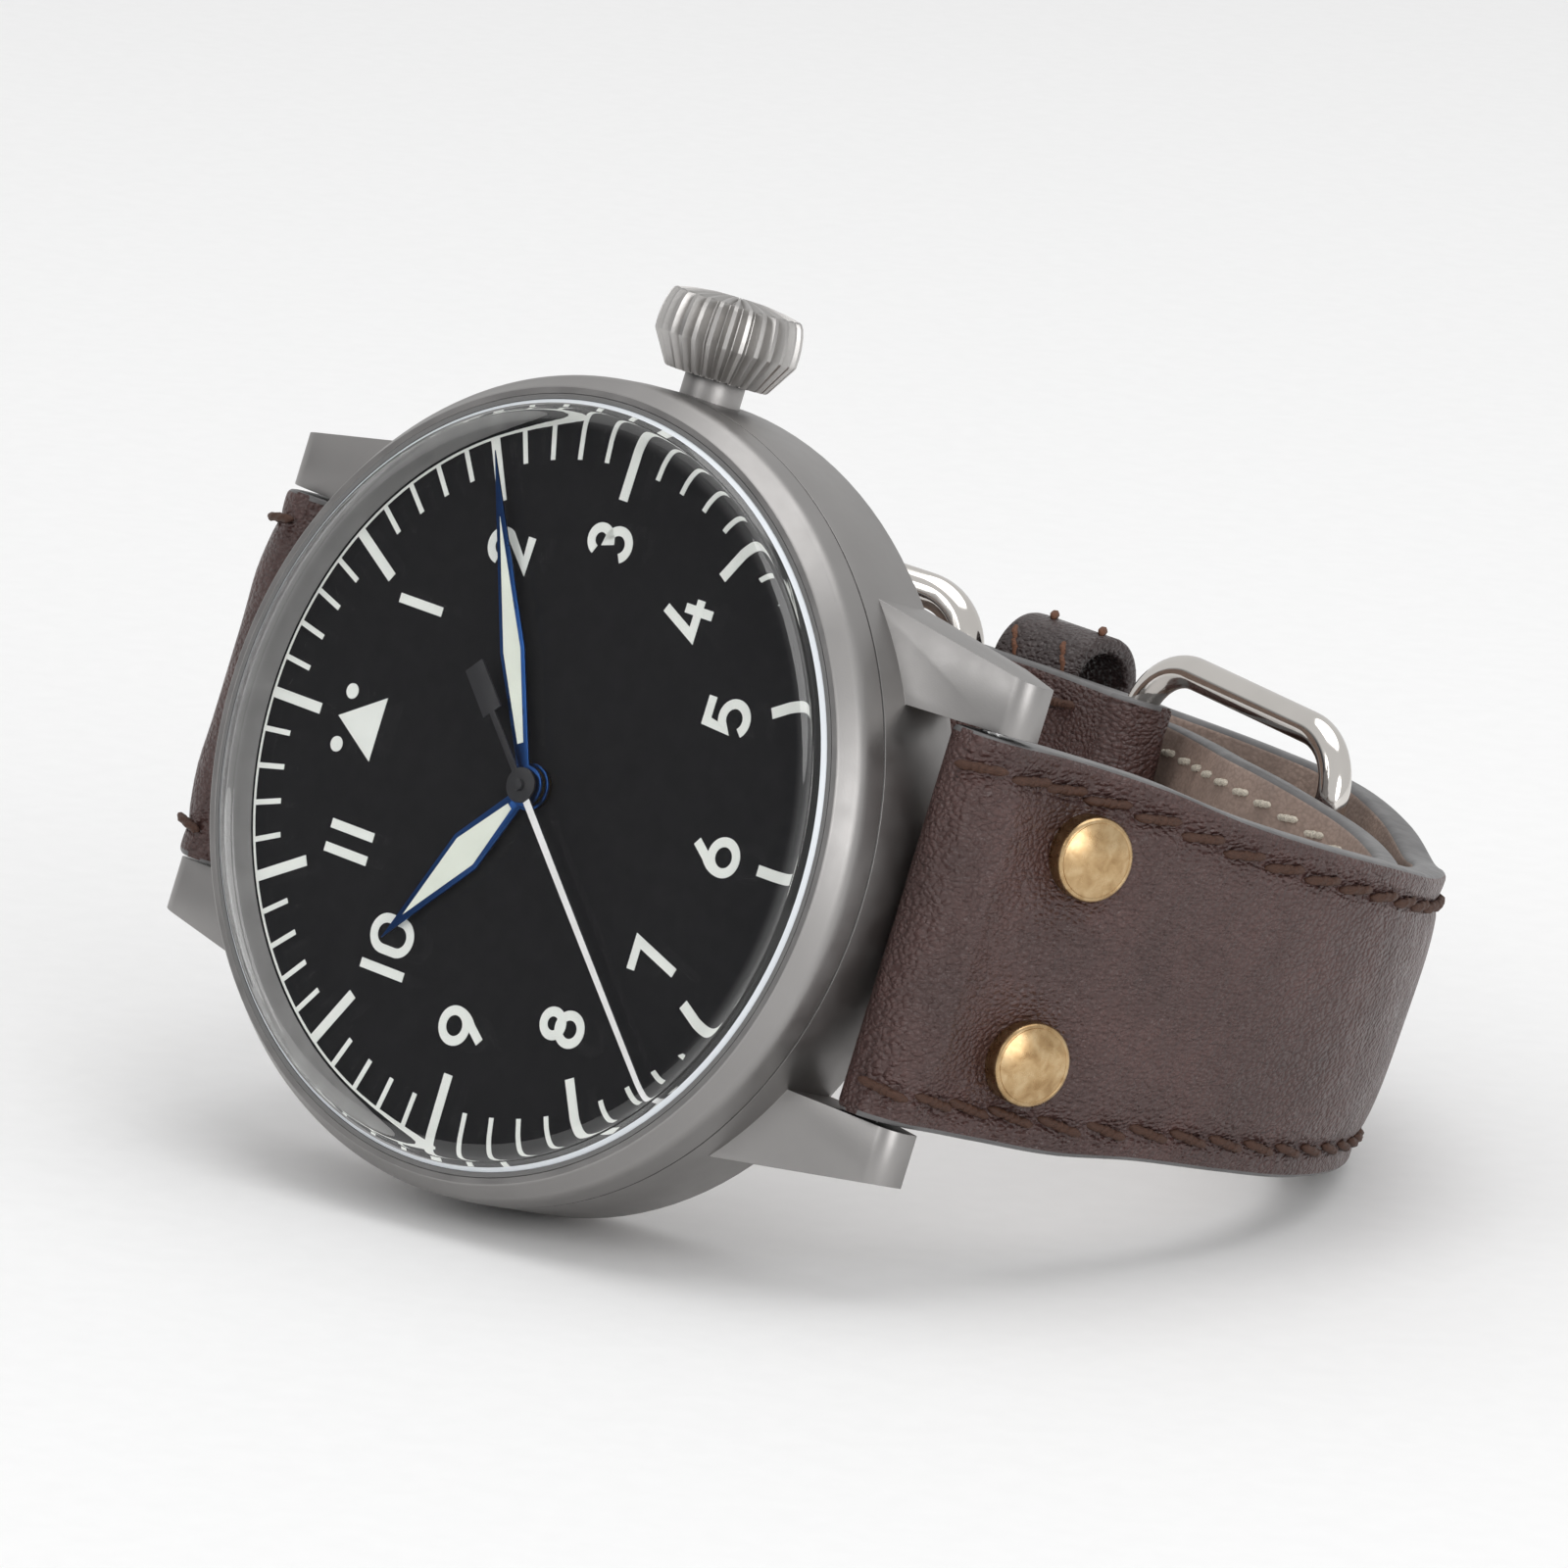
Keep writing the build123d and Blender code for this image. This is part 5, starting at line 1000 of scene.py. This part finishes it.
class WATCH_OT_movement(bpy.types.Operator):
    """Give the movement's parts their finishes"""

    bl_idname = "watch.movement"
    bl_label = "Movement"

    def execute(self, context):
        for node, piece in frame["nodes"].items():
            finish = slot_of_node(node)
            if finish in ("movement_plate", "gilt_brass", "polished_steel") and not piece.hide_render:
                paint(piece, finish)
        return {"FINISHED"}


class WATCH_OT_strap(bpy.types.Operator):
    """Build the leather strap with its linings, edges and stitches"""

    bl_idname = "watch.strap"
    bl_label = "Strap"

    def execute(self, context):
        pitch = context.scene.watch_settings.stitch_pitch / MM
        long_band = Band(LONG_STATIONS, -1)
        stand_in(long_band.mesh("long_strap", 9.0), "strap_long")
        short_band = Band(BUCKLE_SIDE_STATIONS, 1, end_round=True)
        stand_in(short_band.mesh("buckle_side_strap", 9.0, 15.0), "strap_buckle_side")
        tongue = Band(TONGUE_STATIONS, -1, puff=0.05, groove=0.05, rivets=(), start_round=False)
        stand_in(tongue.mesh("inner_tongue"), "strap_inner_tongue")
        short_end, tongue_end = short_band.runs[-1], tongue.runs[-1]
        # Each row: its label, its band, where it starts and ends, and whether it is on the outer face.
        rows = (("long", long_band, -3.4, long_band.runs[-1] - 9.0, True),
                ("short", short_band, -3.4, short_end - 4.0, True),
                ("fold", short_band, short_end - 14.0, short_end - 2.5, False))
        for label, band, start, end, outer in rows:
            for side, height in ((-1, "low"), (1, "high")):
                spots = run_spots(band, start, end, pitch, side, outer, 0.24)
                stitch_row(f"{label}_stitches_{height}", spots, 2.85, 0.52, 0.12 * side, "brown_thread",
                           "brown_leather")
        for side, height in ((-1, "low"), (1, "high")):
            spots = run_spots(tongue, 2.0, tongue_end - 2.0, 2.3, side, False, 0.04)
            stitch_row(f"tongue_stitches_{height}", spots, 1.7, 0.42, 0.12, "cream_thread",
                       "lining_leather")
        return {"FINISHED"}


class WATCH_OT_keeper(bpy.types.Operator):
    """Finish the keeper loop and stitch its two edges"""

    bl_idname = "watch.keeper"
    bl_label = "Keeper"

    def execute(self, context):
        finished_copy("keeper", "keeper_loop", "dark_leather", 0.35, 3)
        spots = []
        for across in (-16.6, -13.1):
            for start, end, out, level in KEEPER_SIDES:
                start, end = Vector(start), Vector(end)
                count = max(1, int((end - start).length / 2.0))
                way = (end - start).normalized()
                outward = (-DIAL_OUT * out[0] + CROWN_WAY * out[1]).normalized()
                for number in range(count):
                    behind, rise = start.lerp(end, (number + 0.5) / count)
                    place = at(across, rise, -behind) / MM
                    spots.append((place + outward * level, -DIAL_OUT * way[0] + CROWN_WAY * way[1], outward))
        stitch_row("keeper_stitches", spots, 2.3, 0.5, 0.6, "tan_thread", "brown_leather", "keeper_body")
        return {"FINISHED"}


class WATCH_OT_metalwork(bpy.types.Operator):
    """Finish the slider ring, buckle and pin, and turn the rivets"""

    bl_idname = "watch.metalwork"
    bl_label = "Metalwork"

    def execute(self, context):
        finished_copy("slider_ring", "slider_frame", "polished_nickel", 0.32, 4, 25, 60)
        finished_copy("buckle_frame", "buckle_bow", "polished_nickel", 0.32, 4, 25, 60)
        finished_copy("buckle_pin", "buckle_tongue", "polished_nickel", 0.2)
        dome = [(1.82 * step / 12, 0.84 - 0.36 * (step / 12) ** 2) for step in range(13)]
        rim = [(1.87, 0.46), (1.93, 0.50), (2.04, 0.45), (2.12, 0.35), (2.15, 0.22), (2.15, -1.1),
               (0.8, -1.1), (0.8, -4.1)]
        back = [(1.6, -4.1), (1.7, -4.2), (1.7, -4.42), (1.6, -4.55), (0.0, -4.55)]
        for node, name, sign in (("rivets_6", "rivets_lower", 1), ("rivets_12", "rivets_upper", -1)):
            out = SIX_WAY * sign * cos(RIVET_TILT) + DIAL_OUT * sin(RIVET_TILT)
            pair = []
            for rise in (-RIVET_RISE, RIVET_RISE):
                matrix = axes_matrix(at(RIVET_ACROSS * sign, rise, -RIVET_DEPTH),
                                     CROWN_WAY, out.cross(CROWN_WAY), out)
                pair.append(lathe(name, dome + rim + back, 64, matrix))
            choose(pair[0])
            pair[1].select_set(True)
            bpy.ops.object.join()
            smooth(pair[0], 32)
            paint(pair[0], "aged_brass")
            stand_in(pair[0], node)
        return {"FINISHED"}


def light_room(scene, strength):
    """White light all round, with a dark card where the dial would mirror it to the camera."""
    room = bpy.data.worlds.new("studio_world")
    scene.world = room
    room.use_nodes = True
    sky = Nodes(room.node_tree)
    way = sky.new("TexCoord", {}).outputs["Generated"]
    aim = sky.new("VectorMath", {0: way, 1: DARK_CARD_WAY}, "DOT_PRODUCT").outputs["Value"]
    card = sky.ramp(aim, [(0.90, (1.0, 1.0, 1.0)), (0.965, (0.08, 0.08, 0.09))])
    sky.feed(sky.tree.nodes["Background"], {"Strength": strength, "Color": card})


def hang_lamp(name, place, target, size, power):
    """A round lamp that faces its target."""
    lamp_data = bpy.data.lights.new(name, "AREA")
    lamp_data.energy = power
    lamp_data.shape = "DISK"
    lamp_data.size = size
    lamp = add_object(name, lamp_data)
    lamp.location = place
    lamp.rotation_euler = (Vector(target) - Vector(place)).to_track_quat("-Z", "Y").to_euler()


def place_camera(scene):
    """A camera where the photo was taken from."""
    camera_data = bpy.data.cameras.new("photo_camera")
    camera_data.sensor_width = 36.0
    camera_data.lens = CAMERA_LENS
    camera_data.clip_start = 0.01
    camera_data.clip_end = 20.0
    camera = add_object("photo_camera", camera_data)
    up = CAMERA_BACK.cross(CAMERA_RIGHT).normalized()
    turn = Matrix((up.cross(CAMERA_BACK), up, CAMERA_BACK)).transposed().to_4x4()
    camera.matrix_world = Matrix.Translation(CAMERA_PLACE) @ turn
    scene.camera = camera


class WATCH_OT_stage(bpy.types.Operator):
    """Add the floor, the lamps, the world and the camera"""

    bl_idname = "watch.stage"
    bl_label = "Stage"

    def execute(self, context):
        scene = context.scene
        settings = scene.stage_settings
        deselect()
        bpy.ops.mesh.primitive_plane_add(size=8.0, location=(0, 0, 0))
        floor = context.object
        floor.name = "studio_floor"
        matte("studio_floor", tuple(settings.floor_colour), 0.8, 2.0, 0.02, 0.01)
        paint(floor, "studio_floor")
        light_room(scene, settings.room_light)
        hang_lamp("main_lamp", (0.05, 0.12, 0.85), (0.0, 0.0, 0.02), 0.8, settings.lamp_power)
        hang_lamp("front_lamp", (-0.15, -0.75, 0.45), (0.0, 0.0, 0.03), 0.35, 0.8)
        hang_lamp("side_lamp", (0.80, -0.36, 0.28), (0.0, 0.0, 0.03), 0.5, 2.0)
        place_camera(scene)
        scene.view_settings.view_transform = "Standard"
        return {"FINISHED"}


class WATCH_PT_panel(bpy.types.Panel):
    """Lists the watch's operators and settings"""

    bl_label = "Pilot Watch"
    bl_idname = "WATCH_PT_panel"
    bl_space_type = "VIEW_3D"
    bl_region_type = "UI"
    bl_category = "Watch"

    def draw(self, context):
        layout = self.layout
        for name in ("steel_colour", "leather_colour", "stitch_pitch"):
            layout.prop(context.scene.watch_settings, name)
        for name in ("floor_colour", "lamp_power", "room_light"):
            layout.prop(context.scene.stage_settings, name)
        for operator in OPERATORS:
            layout.operator(operator.bl_idname)


OPERATORS = (WATCH_OT_stage, WATCH_OT_case, WATCH_OT_crystal, WATCH_OT_dial, WATCH_OT_hands, WATCH_OT_strap,
             WATCH_OT_keeper, WATCH_OT_metalwork, WATCH_OT_movement)
CLASSES = (WatchSettings, StageSettings) + OPERATORS + (WATCH_PT_panel,)


def register():
    """Register the classes and their settings."""
    for entry in CLASSES:
        bpy.utils.register_class(entry)
    bpy.types.Scene.watch_settings = bpy.props.PointerProperty(type=WatchSettings)
    bpy.types.Scene.stage_settings = bpy.props.PointerProperty(type=StageSettings)


def unregister():
    """Remove the settings and the classes."""
    del bpy.types.Scene.stage_settings
    del bpy.types.Scene.watch_settings
    for entry in reversed(CLASSES):
        bpy.utils.unregister_class(entry)


def main():
    register()
    make_materials(bpy.context.scene.watch_settings)
    bpy.ops.watch.stage()
    bpy.ops.watch.case()
    bpy.ops.watch.crystal()
    bpy.ops.watch.dial()
    bpy.ops.watch.hands()
    bpy.ops.watch.strap()
    bpy.ops.watch.keeper()
    bpy.ops.watch.metalwork()
    bpy.ops.watch.movement()


if __name__ == "__main__":
    main()
